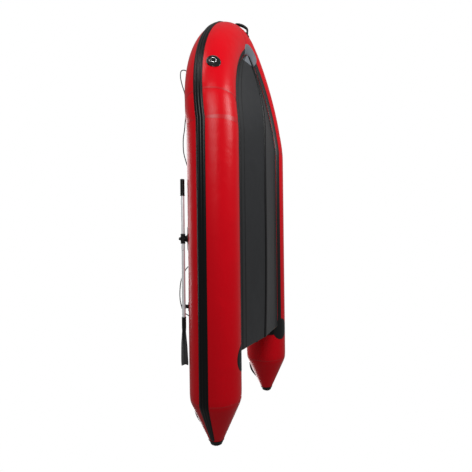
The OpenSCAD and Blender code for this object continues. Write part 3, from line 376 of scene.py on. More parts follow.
# %% Creases: the soft folds of an inflated skin
creases, given, put = group("Creases",
                            [("Vector", "NodeSocketVector", None), ("Size", "NodeSocketFloat", 6.0)],
                            [("Height", "NodeSocketFloat"), ("Shade", "NodeSocketFloat")])
wide = node(creases, "TexNoise", {"Vector": given.outputs["Vector"], "Scale": given.outputs["Size"]},
            detail=3.0, roughness=0.45, distortion=0.6)
sharp_fold = node(creases, "Math", {0: wide.outputs["Fac"]}, operation="PINGPONG")
sharp_fold.inputs[1].default_value = 0.5
creases.links.new(sharp_fold.outputs[0], put.inputs["Height"])
creases.links.new(wide.outputs["Fac"], put.inputs["Shade"])

# %% Dust and scuffs: what handling leaves
dust, given, put = group("Dust", [("Vector", "NodeSocketVector", None), ("Amount", "NodeSocketFloat", 0.2),
                                  ("Size", "NodeSocketFloat", 14.0)], [("Mask", "NodeSocketFloat")])
cloud = node(dust, "TexNoise", {"Vector": given.outputs["Vector"], "Scale": given.outputs["Size"]},
             detail=6.0, roughness=0.7)
streak_place = node(dust, "Mapping", {"Vector": given.outputs["Vector"]}, scale=(2.0, 40.0, 40.0))
streaks = node(dust, "TexNoise", {"Vector": streak_place.outputs[0]}, scale=3.0, detail=4.0)
powder = ramp(dust, cloud.outputs["Fac"], [(0.5, 0), (0.78, 1)])
scratches = ramp(dust, streaks.outputs["Fac"], [(0.6, 0), (0.75, 0.7)])
mixed = node(dust, "Math", {0: powder, 1: scratches}, operation="MAXIMUM")
scaled = node(dust, "Math", {0: mixed.outputs[0], 1: given.outputs["Amount"]}, operation="MULTIPLY")
dust.links.new(scaled.outputs[0], put.inputs["Mask"])

# %% Grain: the fine tooth of moulded rubber and plastic
grain, given, put = group("Grain", [("Vector", "NodeSocketVector", None), ("Size", "NodeSocketFloat", 900.0)],
                          [("Height", "NodeSocketFloat")])
tooth = node(grain, "TexNoise", {"Vector": given.outputs["Vector"], "Scale": given.outputs["Size"]},
             detail=4.0, roughness=0.6)
grain.links.new(tooth.outputs["Fac"], put.inputs["Height"])
print("groups", [g.name for g in bpy.data.node_groups])


# %% [markdown]
# ## The finishes
# Every finish starts from one Principled shader. Its plain numbers are set on its own sockets,
# and only what changes over the surface comes from nodes: colour through a dusty mix, roughness
# through the same mask, and a bump whose height is the finish's own texture.


# %% Finish builder
DUST_ROUGHENS = 0.36


def finish(name, color, rough, metal=0.0, worn=None, dusty=0.15, tex="Grain", size=900.0, depth=0.00004,
           coat=0.0, coat_rough=0.2, specular=0.5, fold=0.0, fold_size=6.0, tone=0.12):
    """A material: base colour varied by tone, dust over it, its texture and soft folds in the bump."""
    mat = bpy.data.materials.new(name)
    mat.use_nodes = True
    tree = mat.node_tree
    shader = tree.nodes["Principled BSDF"]
    for label, value in (("Metallic", metal), ("Specular IOR Level", specular),
                         ("Coat Weight", coat), ("Coat Roughness", coat_rough)):
        shader.inputs[label].default_value = value
    place = node(tree, "TexCoord")
    spot = place.outputs["Object"]
    folds = node(tree, "Group", node_tree=bpy.data.node_groups["Creases"])
    tree.links.new(spot, folds.inputs["Vector"])
    folds.inputs["Size"].default_value = fold_size
    marks = node(tree, "Group", node_tree=bpy.data.node_groups["Dust"])
    tree.links.new(spot, marks.inputs["Vector"])
    marks.inputs["Amount"].default_value = dusty
    light = tuple(min(1.0, c * (1 + tone)) for c in color)
    dark = tuple(c * (1 - tone) for c in color)
    shade = node(tree, "Mix", data_type="RGBA")
    tree.links.new(folds.outputs["Shade"], shade.inputs[0])
    shade.inputs[6].default_value, shade.inputs[7].default_value = (*dark, 1), (*light, 1)
    pale = worn or tuple(min(1.0, c * 1.5 + 0.03) for c in color)
    base = node(tree, "Mix", data_type="RGBA")
    tree.links.new(marks.outputs["Mask"], base.inputs[0])
    tree.links.new(shade.outputs[2], base.inputs[6])
    base.inputs[7].default_value = (*pale, 1)
    tree.links.new(base.outputs[2], shader.inputs["Base Color"])
    gloss = node(tree, "MapRange", {"Value": marks.outputs["Mask"]})
    gloss.inputs["To Min"].default_value = rough
    gloss.inputs["To Max"].default_value = min(1.0, rough + DUST_ROUGHENS)
    tree.links.new(gloss.outputs[0], shader.inputs["Roughness"])
    texture = node(tree, "Group", node_tree=bpy.data.node_groups[tex])
    if tex == "Weave":
        tree.links.new(place.outputs["UV"], texture.inputs["UV"])
        texture.inputs["Threads"].default_value = size
    else:
        tree.links.new(spot, texture.inputs["Vector"])
        texture.inputs["Size"].default_value = size
    bump = node(tree, "Bump", {"Height": texture.outputs["Height"]}, strength=1.0, distance=depth)
    if fold:
        bump = node(tree, "Bump", {"Height": folds.outputs["Height"], "Normal": bump.outputs[0]},
                    strength=1.0, distance=fold)
    tree.links.new(bump.outputs[0], shader.inputs["Normal"])
    return mat


# %% The list of finishes
PVC_RED = finish("Coated fabric, red", (0.52, 0.0003, 0.0055), 0.3, tex="Weave", size=4200, depth=0.00003,
                 fold=0.007, fold_size=3.2, dusty=0.02, tone=0.06, worn=(0.55, 0.01, 0.02), specular=0.14)
# The seam strip is the chambers' fabric, its red made darker as painted shade along the seam lines.
PVC_SEAM_SHADED = finish("Coated fabric, seam, painted shade", (0.43, 0.0004, 0.005), 0.34, tex="Weave", size=4200, depth=0.00003,
                  dusty=0.03, tone=0.08, worn=(0.5, 0.01, 0.02), specular=0.3)
# The bow patch is real, but its dark red is painted shadow of the bow handle above it.
PVC_PATCH_SHADOWED = finish("Coated fabric, red with painted shadow", (0.2, 0.0008, 0.004), 0.45, tex="Weave", size=4200,
                   depth=0.00004, worn=(0.25, 0.01, 0.012), specular=0.25)
PVC_CHARCOAL = finish("Coated fabric, charcoal", (0.0075, 0.0085, 0.0102), 0.34, tex="Weave", size=3600,
                      depth=0.00006, fold=0.006, fold_size=2.6, dusty=0.12, tone=0.18,
                      worn=(0.03, 0.031, 0.034), specular=0.42)
PVC_BLACK = finish("Coated tape, black", (0.0035, 0.0037, 0.004), 0.42, tex="Weave", size=3600, depth=0.00004,
                   dusty=0.05, worn=(0.02, 0.02, 0.022), specular=0.3)
PVC_GREY = finish("Coated fabric, grey", (0.12, 0.135, 0.155), 0.4, tex="Weave", size=3600, depth=0.00005)
RUBBER = finish("Moulded rubber", (0.0022, 0.0022, 0.0025), 0.33, size=1100, depth=0.00002, dusty=0.04,
                worn=(0.012, 0.0125, 0.014), specular=0.22)
RUBBER_GLOSS = finish("Glossy rubber", (0.003, 0.003, 0.0035), 0.2, size=700, depth=0.00001, dusty=0.05,
                      worn=(0.02, 0.02, 0.022), specular=0.6)
NYLON = finish("Black nylon", (0.0035, 0.0035, 0.004), 0.4, size=1500, depth=0.00002, dusty=0.08,
               worn=(0.02, 0.02, 0.022), specular=0.3)
NYLON_GREY = finish("Grey nylon", (0.09, 0.094, 0.1), 0.42, size=1500, depth=0.00003)
ROPE = finish("Braided rope", (0.003, 0.003, 0.0034), 0.8, tex="Weave", size=1400, depth=0.0003, dusty=0.04,
              worn=(0.008, 0.008, 0.009), specular=0.05)
OAR_ALLOY = finish("Anodised tube", (0.86, 0.87, 0.89), 0.42, metal=0.55, size=240, depth=0.00001,
                   worn=(0.7, 0.71, 0.73), dusty=0.12)
PLATE_ALLOY = finish("Floor alloy", (0.5, 0.51, 0.53), 0.5, metal=0.9, size=180, depth=0.00003,
                     worn=(0.4, 0.41, 0.42), dusty=0.4)
STAINLESS = finish("Stainless", (0.66, 0.66, 0.67), 0.2, metal=1.0, size=300, depth=0.00001, dusty=0.15)


# %% [markdown]
# Marine plywood shows long grain through its varnish. It comes from the Object coordinates: a
# bent wave for the figure of the wood, and stretched noise for its fibres.

# %% Varnished plywood
PLY = finish("Varnished plywood", (0.3, 0.15, 0.06), 0.35, size=500, depth=0.00004, coat=0.5, coat_rough=0.15)
tree = PLY.node_tree
coords = node(tree, "TexCoord")
stretch = node(tree, "Mapping", {"Vector": coords.outputs["Object"]}, scale=(9.0, 1.2, 9.0))
bands = node(tree, "TexWave", {"Vector": stretch.outputs[0]}, scale=1.6, distortion=9.0, detail=3.0)
fibre_place = node(tree, "Mapping", {"Vector": coords.outputs["Object"]}, scale=(160.0, 6.0, 160.0))
fibre = node(tree, "TexNoise", {"Vector": fibre_place.outputs[0]}, scale=2.0, detail=5.0)
both = node(tree, "Mix", data_type="FLOAT")
both.inputs[0].default_value = 0.45
tree.links.new(bands.outputs["Fac"], both.inputs[2])
tree.links.new(fibre.outputs["Fac"], both.inputs[3])
tint = node(tree, "Mix", data_type="RGBA")
tint.inputs[6].default_value, tint.inputs[7].default_value = (0.2, 0.085, 0.028, 1), (0.43, 0.22, 0.085, 1)
tree.links.new(both.outputs[0], tint.inputs[0])
tree.links.new(tint.outputs[2], tree.nodes["Principled BSDF"].inputs["Base Color"])
print("finishes", len(bpy.data.materials))


# %% [markdown]
# ## The air chambers
# Three chambers of coated fabric make the U: one down each side, ending in a cone, and one round
# the bow. Air keeps them round, so each is a loft of circles. What makes them look like cloth is
# small: the skin draws in by about two millimetres at each glued seam, and on the inside of the bow
# bends, where there is too much cloth, it gathers in short folds.

# %% Chambers
SEAMS = [0.432, 2.944, run_at(3.165), NOSE_RUN + 0.02]
AROUND = 88


def puff(run, angle):
    """How far the skin stands out from or draws in to the true circle."""
    near = min(run, 2 * END_RUN - run)
    drawn = -0.0024 * sum(exp(-((near - s) / 0.03) ** 2) for s in SEAMS)
    ripple = 0.0
    if near > BOW_RUN - 0.1:
        inner = exp(-((angle % 360 - 262) / 34) ** 2)
        ripple = 0.0022 * inner * sin(2 * pi * near / 0.083 + 2 * sin(near * 9))
    return drawn + ripple


def spread_runs(start, end, step):
    count = max(1, round((end - start) / step))
    return [start + (end - start) * k / count for k in range(count + 1)]


def skin_ring(run, rise=0.0):
    """A ring of points round the tube, with its seams and folds."""
    angles = [360 * k / AROUND for k in range(AROUND)]
    return [skin(run, angle, rise + puff(run, angle)) for angle in angles]


def chamber(name, runs, node_name, mirrored_side=False):
    bm = bmesh.new()
    loft(bm, [skin_ring(run) for run in runs])
    return piece(bm, name, PVC_RED, stands_for=node_name, flip=mirrored_side)


side_runs = spread_runs(0.013, 0.5, 0.0115) + spread_runs(0.5, BOW_RUN, 0.03)[1:]
chamber("chamber_port", side_runs, "port_tube")
chamber("chamber_starboard", side_runs, "starboard_tube", mirrored_side=True)
half_bow = spread_runs(BOW_RUN, WIDE_RUN, 0.01) + spread_runs(WIDE_RUN, END_RUN, 0.0125)[1:]
chamber("chamber_bow", half_bow + [2 * END_RUN - r for r in reversed(half_bow[:-1])], "bow_tube")

# %% [markdown]
# Each seam is covered by a strip of the same fabric, its red made darker as painted shade along the
# seam. It is a closed band, its edges just under the skin, so its thin step catches the light as a
# real tape does.

# %% Seam strips
bm = bmesh.new()
for seam in SEAMS:
    edge = [(-0.0085, -0.0012), (-0.0078, 0.001), (0.0078, 0.001), (0.0085, -0.0012)]
    for side in (1, -1):
        rings = []
        for dx, rise in edge:
            rings.append([Vector((p.x, side * p.y, p.z)) for p in skin_ring(seam + dx, rise)])
        loft(bm, rings, join_ends=True)
# The strips take the darker red: painted shade along the seams.
piece(bm, "seam_strips", PVC_SEAM_SHADED)

# %% [markdown]
# ## The rubbing strake
# A heavy rubber moulding runs round the widest line of the tubes to take knocks. It is one
# extrusion: a flat base with three ribs, narrowed and thinned along the stern cones.

# %% Strake
STRAKE_START = 0.062


def strake_ring(run):
    near = min(run, 2 * END_RUN - run)
    share = min(1.0, max(0.0, (near - STRAKE_START) / (CONE_LEN - STRAKE_START)))
    width = 0.040 + 0.052 * share
    tip = min(1.0, max(0.0, (near - 0.060) / 0.02))
    width *= sqrt(max(0.02, 1 - (1 - tip) ** 2))
    tall = 0.0045 * (0.55 + 0.45 * tip)
    rib = 0.0040 if near > CONE_LEN + 0.03 else 0.0006 + 0.0014 * share
    count = 44
    outer = []
    for k in range(count + 1):
        y = width * (k / count - 0.5)
        edge = min(1.0, (width / 2 - abs(y)) / 0.004)
        wave = max(0.0, cos(pi * ((y / width * 3.4 + 0.5) % 1 - 0.5) * 1.55)) ** 0.6
        outer.append((y, (tall + rib * wave) * sqrt(max(0.0, 1 - (1 - edge) ** 2)) + 0.0002))
    inner = [(width * 0.5, -0.0015), (0, -0.0015), (-width * 0.5, -0.0015)]
    reach = tube_radius(run)
    return [skin(run, 90 + degrees(y / reach), rise) for y, rise in outer + inner]


half_run = [0.0605, 0.0615, 0.063, 0.066, 0.07, 0.076] + spread_runs(0.085, 0.5, 0.02)
half_run += spread_runs(0.5, BOW_RUN, 0.1)[1:] + spread_runs(BOW_RUN, END_RUN, 0.022)[1:]
strake_runs = half_run + [2 * END_RUN - r for r in reversed(half_run[:-1])]
bm = bmesh.new()
loft(bm, [strake_ring(run) for run in strake_runs])
piece(bm, "strake", RUBBER, stands_for="rub_strake", sharp=50)

# %% [markdown]
# ## The bottom
# The bottom is one sheet of heavy fabric stretched between the tubes, pushed down along its
# middle by the inflatable keel under the floor. It is lofted from cross-sections: nearly
# straight from tube to keel, with a rounded ridge, rising to the nose.

# %% Keel line and cross-sections
BOTTOM_ANGLE = 215
KEEL_DEPTH = 0.262
KEEL_STERN_RISE = 0.022
BOTTOM_START = 0.85
BOTTOM_T = 0.003
RISE_STATION = 3.05
STRIP_GAP = 0.0003
STRIP_HALF_W = 0.025
BOTTOM_END = NOSE_RUN + NOSE_BEND * radians(28)
STERN_EASE_LEN = 1.1
KEEL_RISE_POWER = 1.9
RIDGE_HALF_W = 0.06
nose_top = skin(BOTTOM_END, BOTTOM_ANGLE, 0.0005)
rise_len = nose_top.x - STERN - RISE_STATION
keel_rise = nose_top.z - LIFT - BOTTOM_T - 0.001 + KEEL_DEPTH


def keel_height(x):
    """The underside of the keel line at x, in the row frame."""
    station = x - STERN
    if station > RISE_STATION:
        return LIFT - KEEL_DEPTH + keel_rise * min(1, (station - RISE_STATION) / rise_len) ** KEEL_RISE_POWER
    return LIFT - KEEL_DEPTH + KEEL_STERN_RISE * max(0, 1 - (station - BOTTOM_START) / STERN_EASE_LEN) ** 2


def bottom_height(x, y, edge):
    """Height of the bottom's underside between the tube and the keel."""
    share = 1 - abs(y) / max(edge.y, 1e-6)
    keel, side = keel_height(x), edge.z - BOTTOM_T
    line = side + (keel - side) * min(1.0, share * 1.045)
    hollow = 0.004 * sin(pi * share) * min(1.0, edge.y / 0.3)
    near = max(0.0, 1 - abs(y) / RIDGE_HALF_W)
    return max(keel, line + hollow * 0.6 + (keel - line) * near**2 * 0.5)


def bottom_edge(run):
    return skin(run, BOTTOM_ANGLE, 0.0005)


bottom_runs = spread_runs(BOTTOM_START, BOW_RUN, 0.05) + spread_runs(BOW_RUN, NOSE_RUN, 0.03)[1:]
bottom_runs += spread_runs(NOSE_RUN, BOTTOM_END, 0.02)[1:]


def bottom_ring(run, count=48):
    edge = bottom_edge(run)
    under = []
    for k in range(count + 1):
        y = edge.y * (1 - 2 * k / count)
        under.append(Vector((edge.x, y, bottom_height(edge.x, y, edge))))
    over = [p + Vector((0, 0, BOTTOM_T)) for p in reversed(under)]
    return under + over


bm = bmesh.new()
loft(bm, [bottom_ring(run) for run in bottom_runs])
piece(bm, "bottom", PVC_CHARCOAL, stands_for="hull_bottom", sharp=60)

# %% [markdown]
# Welded strips cover the bottom's long seams: one close to each tube, a narrow one beside it,
# and a ribbed rubber strip that guards the keel on the beach.

# %% Bottom seams and keel strip
bm = bmesh.new()
for share, width in ((0.075, 0.024), (0.2, 0.012)):
    rings = []
    for run in bottom_runs[:-3]:
        edge = bottom_edge(run)
        ring = []
        for dy, drop in ((-0.5, -0.0008), (-0.46, 0.0013), (0.46, 0.0013), (0.5, -0.0008)):
            y = edge.y * (1 - share) + dy * width
            ring.append(Vector((edge.x, y, bottom_height(edge.x, y, edge) - drop)))
        rings.append(ring)
    loft(bm, rings)
piece(bm, "bottom_seams", PVC_BLACK, mirrored=True, sharp=40)

strip_profile = []
for k in range(25):
    a = k / 24
    rib = 0.0011 * (1 if (a * 5) % 1 > 0.5 else 0)
    crown = 0.0063 * sqrt(max(0.0, 1 - (2 * a - 1) ** 4))
    strip_profile.append((STRIP_HALF_W * (1 - 2 * a), crown + rib * (0.1 < a < 0.9)))
rings = []
for run in bottom_runs[:-2]:
    edge = bottom_edge(run)
    narrow = min(1.0, edge.y * 0.7 / STRIP_HALF_W)
    base = keel_height(edge.x) - STRIP_GAP
    ring = [Vector((edge.x, y * narrow, base - drop)) for y, drop in strip_profile]
    rings.append(ring + [Vector((edge.x, side * STRIP_HALF_W * narrow, base + 0.0002)) for side in (-1, 1)])
bm = bmesh.new()
loft(bm, rings)
piece(bm, "keel_guard", RUBBER, stands_for="keel_strip", sharp=40)

# %% [markdown]
# ## Tapes and patches on the tubes
# A black tape covers the joint of tube and bottom all the way round. Under the nose it widens
# into a grey doubler, and at the transom each tube has a round dark patch against chafe.

# %% Joint tape, bow doubler and stern patches
TAPE_LOW, TAPE_HIGH = 199, 213.4
DOUBLER_EASE = 0.05
DOUBLER_WIDER = 9
PATCH_RUN, PATCH_ANGLE, PATCH_R = 0.805, 200.5, 0.125


def tape_ring(run, low, high, thick=0.0014, count=10):
    outer = [(low + (high - low) * k / count, thick if 0 < k < count else 0.0) for k in range(count + 1)]
    ring = [skin(run, angle, 0.0003 + rise) for angle, rise in outer]
    return ring + [skin(run, angle, -0.001) for angle in (high, (low + high) / 2, low)]


bm = bmesh.new()
half = spread_runs(BOTTOM_START + 0.002, BOW_RUN, 0.1) + spread_runs(BOW_RUN, END_RUN, 0.025)[1:]
loft(bm, [tape_ring(r, TAPE_LOW, TAPE_HIGH) for r in half + [2 * END_RUN - r for r in reversed(half[:-1])]])
piece(bm, "joint_tape", PVC_BLACK, stands_for="joint_tapes")

bm = bmesh.new()
nose_half = spread_runs(NOSE_RUN - DOUBLER_EASE, END_RUN, 0.02)
rings = []
for run in nose_half + [2 * END_RUN - r for r in reversed(nose_half[:-1])]:
    near = min(run, 2 * END_RUN - run)
    ease = sqrt(max(0.0, 1 - (1 - min(1.0, (near - NOSE_RUN + DOUBLER_EASE) / DOUBLER_EASE)) ** 2))
    rings.append(tape_ring(run, TAPE_LOW - DOUBLER_WIDER * ease, 213.6, thick=0.0026))
loft(bm, rings)
rings = []
for run in bottom_runs:
    edge = bottom_edge(run)
    if edge.x > nose_top.x - 0.125:
        ys = [edge.y * 0.985 * (1 - 2 * k / 24) for k in range(25)]
        outer = [Vector((edge.x, y, bottom_height(edge.x, y, edge) - 0.0012)) for y in ys]
        rings.append(outer + [p + Vector((0, 0, 0.002)) for p in reversed(outer)])
loft(bm, rings)
piece(bm, "bow_doubler", PVC_GREY)

bm = bmesh.new()
patch_levels = [(1.0, -0.001), (1.0, 0.0009)] + [(scale, 0.0018) for scale in (0.985, 0.8, 0.6, 0.4, 0.2, 0.05)]
patch(bm, disc(PATCH_R, 64), patch_levels, PATCH_RUN, PATCH_ANGLE)
piece(bm, "stern_patches", PVC_BLACK, mirrored=True)

# %% [markdown]
# ## Cone caps
# A moulded rubber cap guards each cone's tip, where the boat is dragged or stood on end. It is
# turned about the cone's axis, with a rolled lip at its open edge.

# %% Cone caps
def cone_at(run):
    return TIP_R + (TUBE_R - TIP_R) * run / CONE_LEN


cap_profile = [(0, 0.0004), (0.02, 0.0004), (0.033, 0.0012), (0.041, 0.004), (0.0465, 0.009)]
cap_profile += [(cone_at(x) + 0.0028, x) for x in (0.013, 0.024, 0.036, 0.044)]
cap_profile += [(cone_at(x) + lip, x) for x, lip in ((0.047, 0.0038), (0.05, 0.0046), (0.053, 0.004))]
cap_profile += [(cone_at(0.055) + 0.0024, 0.0549), (cone_at(0.055) - 0.001, 0.055), (0, 0.055)]
bm = bmesh.new()
turned(bm, cap_profile, Matrix.Translation((STERN, HALF, LIFT)) @ Matrix.Rotation(pi / 2, 4, "Y"), steps=64)
piece(bm, "tip_caps", RUBBER, stands_for="cone_caps", mirrored=True)

# %% [markdown]
# ## Handles
# The stern handles are moulded rubber straps: two feet bonded to the cone and a grip that
# arches between them, thick in the middle for the hand. The bow handle is heavier, with two
# horns at its upper end for the tow line. Both are lofts along an arch on bonded feet.

# %% Stern handles
HANDLE_RUN = 0.262
slope = atan((TUBE_R - TIP_R) / CONE_LEN)
stern_place = Matrix.Translation((STERN + HANDLE_RUN, HALF, LIFT + cone_at(HANDLE_RUN))) \
    @ Matrix.Rotation(-slope, 4, "Y")


def arch(x, half, tall):
    return tall * (1 - (x / half) ** 2)


bm = bmesh.new()
half_grip, grip_rise = 0.115, 0.034
for end in (-1, 1):
    outline = oblong(0.058, 0.05, 0.02)
    levels = [(1.0, -0.004), (1.0, 0.0022), (0.96, 0.0038), (0.7, 0.0044), (0.4, 0.006), (0.1, 0.0068)]
    loft(bm, [[stern_place @ Vector((end * half_grip + x * s, y * s, h)) for x, y in outline]
              for s, h in levels])
rings = []
for k in range(29):
    x = half_grip * (k / 14 - 1)
    bulge = max(0.0, 1 - (x / 0.07) ** 2)
    wide, thick = 0.019 + 0.002 * bulge, 0.0026 + 0.0022 * bulge
    ridge = 0.0006 * cos(x * 700) * bulge
    middle = 0.0045 + arch(x, half_grip, grip_rise)
    ring = []
    for j in range(16):
        a = 2 * pi * j / 16
        flat_y, flat_z = wide * squared(cos(a), 0.6), (thick + ridge) * squared(sin(a), 0.7)
        ring.append(stern_place @ Vector((x, flat_y, middle + flat_z)))
    rings.append(ring)
loft(bm, rings)
piece(bm, "grab_handles", RUBBER, stands_for="stern_handles", mirrored=True, sharp=50)

# %% Bow handle and its patch
def nose_point(angle, y, rise):
    """A point on the centre line of the nose, a width y to the side."""
    centre, out, up = centre_line(END_RUN)
    away = sin(radians(angle)) * out + cos(radians(angle)) * up
    return centre + (TUBE_R + rise) * away + Vector((0, y, 0)) - out * (y * y / (2 * (NOSE_BEND + TUBE_R)))


def nose_outline(outline, angle, scale, rise):
    """A flat outline laid on the nose about an angle."""
    return [nose_point(angle + degrees(x * scale / TUBE_R), y * scale, rise) for x, y in outline]


# The patch is lofted on the nose; its dark red finish is painted shadow under the handle.
bm = bmesh.new()
rings = []
for scale, rise in ((1.0, -0.002), (1.0, 0.0008), (0.985, 0.0018), (0.6, 0.0019), (0.2, 0.0019)):
    rings.append(nose_outline(oblong(0.214, 0.108, 0.04), 129, scale, rise))
loft(bm, rings)
piece(bm, "bow_patch", PVC_PATCH_SHADOWED, stands_for="bow_handle_patch")

bm = bmesh.new()
rings = []
for k in range(41):
    share = k / 40
    angle = 104.5 + 49 * share
    foot = min(share, 1 - share)
    lift = 0.0265 * min(1.0, max(0.0, (foot - 0.03) / 0.16)) ** 0.7
    narrow = 0.0215 - 0.006 * share
    thick = 0.0095 + 0.005 * sin(pi * share) + 0.0006 * cos(share * 90)
    ring = []
    for j in range(20):
        a = 2 * pi * j / 20
        rise = 0.0024 + thick * 0.6 + lift + thick * sin(a)
        ring.append(nose_point(angle, narrow * squared(cos(a), 0.7), rise))
    rings.append(ring)
loft(bm, rings)
for side in (-1, 1):
    horn = [nose_point(106.5 - 1.3 * t, side * (0.014 + 0.0055 * t), 0.018 + 0.0105 * t - 0.0012 * t * t)
            for t in range(4)]
    pipe(bm, horn, lambda i: (0.0095, 0.009, 0.008, 0.0055)[i], sides=14)
for angle, reach, foot_len in ((106.5, 0.022, 0.034), (155.5, 0.018, 0.062)):
    rings = []
    for scale, rise in ((1.0, 0.0005), (1.0, 0.0045), (0.94, 0.0062), (0.6, 0.008), (0.2, 0.0085)):
        rings.append(nose_outline(oblong(foot_len, reach * 2.1, 0.012), angle, scale, rise))
    loft(bm, rings)
piece(bm, "tow_handle", RUBBER, stands_for="bow_handle", sharp=50)

# %% [markdown]
# ## Bow rings
# A ring of round stainless bar hangs from a keeper on a round rubber patch with a raised rim.
# The patch follows the tube; the ring is its own piece, because it swings.

# %% Ring patches and rings
RING_RUN, RING_ANGLE = run_at(3.390), 124
RING_HANG, RING_LIFT, RING_LEG, RING_BEND, RING_BAR = 0.021, 0.013, 0.016, 0.026, 0.0035
ring_place = stand(RING_RUN, RING_ANGLE)
bm = bmesh.new()
patch(bm, disc(0.066, 64), [(1.0, -0.001), (1.0, 0.0052), (0.985, 0.0066), (0.965, 0.0072), (0.93, 0.0072),
                            (0.905, 0.0062), (0.885, 0.0042), (0.8, 0.004), (0.55, 0.0044), (0.5, 0.0056),
                            (0.46, 0.0056), (0.42, 0.0044), (0.1, 0.0044)], RING_RUN, RING_ANGLE)
keeper = [(-0.0095, 0.002), (-0.0085, 0.010), (-0.006, 0.0155), (-0.002, 0.0174), (0.002, 0.0174),
          (0.006, 0.0155), (0.0085, 0.010), (0.0095, 0.002)]
loft(bm, [[ring_place @ Vector((x, y * s - RING_HANG, max(z * s, 0.002))) for y, z in keeper]
          for x, s in ((-0.0148, 0.9), (-0.0135, 1), (0.0135, 1), (0.0148, 0.9))])
piece(bm, "ring_pads", RUBBER_GLOSS, stands_for="ring_patches", mirrored=True, sharp=40)

bar = [Vector((-RING_BEND * (1 - k / 4), 0, 0)) for k in range(9)]
turns = [pi * k / 24 for k in range(25)]
bend_part = [Vector((RING_BEND * cos(a), RING_LEG + RING_BEND * sin(a), 0)) for a in turns]
legs = [Vector((side * RING_BEND, RING_LEG * 0.4, 0)) for side in (1, -1)]
loop = bar + legs[:1] + bend_part + legs[1:]
for side, flip in (("port", False), ("starboard", True)):
    bm = bmesh.new()
    points = [ring_place @ (p + Vector((0, -RING_HANG, RING_LIFT))) for p in loop]
    rings = []
    normal = ring_place.to_3x3() @ Vector((0, 0, 1))
    for i, point in enumerate(points):
        ahead = (points[(i + 1) % len(points)] - points[i - 1]).normalized()
        across = normal.cross(ahead)
        rings.append([point + RING_BAR * (cos(2 * pi * k / 14) * across + sin(2 * pi * k / 14) * normal)
                      for k in range(14)])
    loft(bm, rings, join_ends=True)
    piece(bm, "ring_" + side, STAINLESS, body="bow_ring_" + side, stands_for="bow_ring_" + side, flip=flip)

# %% [markdown]
# ## Lifelines
# A braided line is looped along the top of each tube through moulded holders, with slack
# between them to grab from the water, and knotted at both ends. Each is one rope through the
# same points as the CAD, smoothed, with a braid that follows its UV map.

# %% Line holders
HOLDERS = [(3.534, 8), (3.145, 6), (2.510, 0), (2.060, -16), (1.740, -16), (1.130, -4)]
ROPE_R = 0.0045
KNOT_R, KNOT_PITCH, KNOT_BAR = 0.0055, 0.00125, 0.0034
HOLDER_SECTIONS = ((-0.0135, 0.8), (-0.0115, 0.97), (-0.004, 1.03), (0.004, 1.03), (0.0115, 0.97),
                   (0.0135, 0.8))
bm = bmesh.new()
for station, angle in HOLDERS:
    run = run_at(station)
    patch(bm, disc(0.028, 40), [(1.0, -0.001), (1.0, 0.0022), (0.95, 0.0036), (0.72, 0.0042), (0.45, 0.0052),
                                (0.1, 0.0052)], run, angle)
    block = [(-0.0125, 0.003), (-0.011, 0.0115), (-0.0085, 0.0168), (-0.004, 0.0186), (0.004, 0.0186),
             (0.0085, 0.0168), (0.011, 0.0115), (0.0125, 0.003)]
    place = stand(run, angle)
    loft(bm, [[place @ Vector((x, y * s, max(0.003, z * (0.55 + 0.45 * s)))) for y, z in block]
              for x, s in HOLDER_SECTIONS])
piece(bm, "rope_holders", NYLON, stands_for="line_holders", mirrored=True, sharp=45)

# %% Ropes
ROUTE = [
    (3500, 8, 13), (3520, 8, 13), (3548, 8, 13), (3572, 8, 28), (3590, 10, 58), (3578, 12, 82),
    (3545, 13, 86), (3480, 13, 74), (3400, 11, 50), (3320, 8, 24), (3230, 7, 14), (3165, 6, 13), (3125, 6, 13),
    (3060, 6, 24), (2960, 7, 42), (2840, 7, 56), (2720, 6, 56), (2620, 3, 36), (2550, 1, 16), (2530, 0, 13),
    (2490, 0, 13), (2400, -4, 16), (2300, -9, 25), (2200, -13, 25), (2110, -15, 15), (2080, -16, 13),
    (2040, -16, 13), (1900, -17, 12), (1760, -16, 13), (1720, -16, 13),
    (1670, -12, 40), (1600, -4, 84), (1510, 1, 112), (1400, 3, 122), (1290, 3, 116), (1200, 1, 84),
    (1165, -2, 40), (1150, -4, 13), (1110, -4, 13), (1085, -4, 13),
]


def smooth_path(points, parts=5):
    """A curve through the points, with equal care for each (Catmull and Rom's)."""
    line = [points[0]] + points + [points[-1]]
    out = []
    for a, b, c, d in zip(line, line[1:], line[2:], line[3:]):
        for k in range(parts):
            t = k / parts
            bend, twist = 2 * a - 5 * b + 4 * c - d, 3 * b - a - 3 * c + d
            out.append(0.5 * (2 * b + (c - a) * t + bend * t**2 + twist * t**3))
    return out + [points[-1]]


route = [skin(run_at(x / 1000), angle, rise / 1000) for x, angle, rise in ROUTE]
for side, flip in (("port", 1), ("starboard", -1)):
    path = [Vector((p.x, flip * p.y, p.z)) for p in smooth_path(route)]
    bm = bmesh.new()
    pipe(bm, path, ROPE_R, sides=12)
    rope = piece(bm, "lifeline_" + side, ROPE, stands_for="lifelines")
    for number, end in enumerate((0, -1)):
        bm = bmesh.new()
        ahead = path[1] - path[0] if end == 0 else path[-1] - path[-2]
        place = Matrix.Translation(path[end]) @ ahead.to_track_quat("Z", "Y").to_matrix().to_4x4()
        coil = [place @ Vector((KNOT_R * cos(t * 0.7), KNOT_R * sin(t * 0.7), KNOT_PITCH * (t - 9)))
                for t in range(19)]
        pipe(bm, coil, KNOT_BAR, sides=10, up=(0.3, 0.2, 1))
        knot = piece(bm, f"knot_{side}_{number}", ROPE)

# %% [markdown]
# ## Oars
# Each oar is two aluminium tubes locked by a sprung button, a rubber grip, a moulded blade and a
# collar that turns on the lock's pin. It is drawn along X with the pin at its origin and put in
# place by one matrix, so the mirrored oar is the same shape.

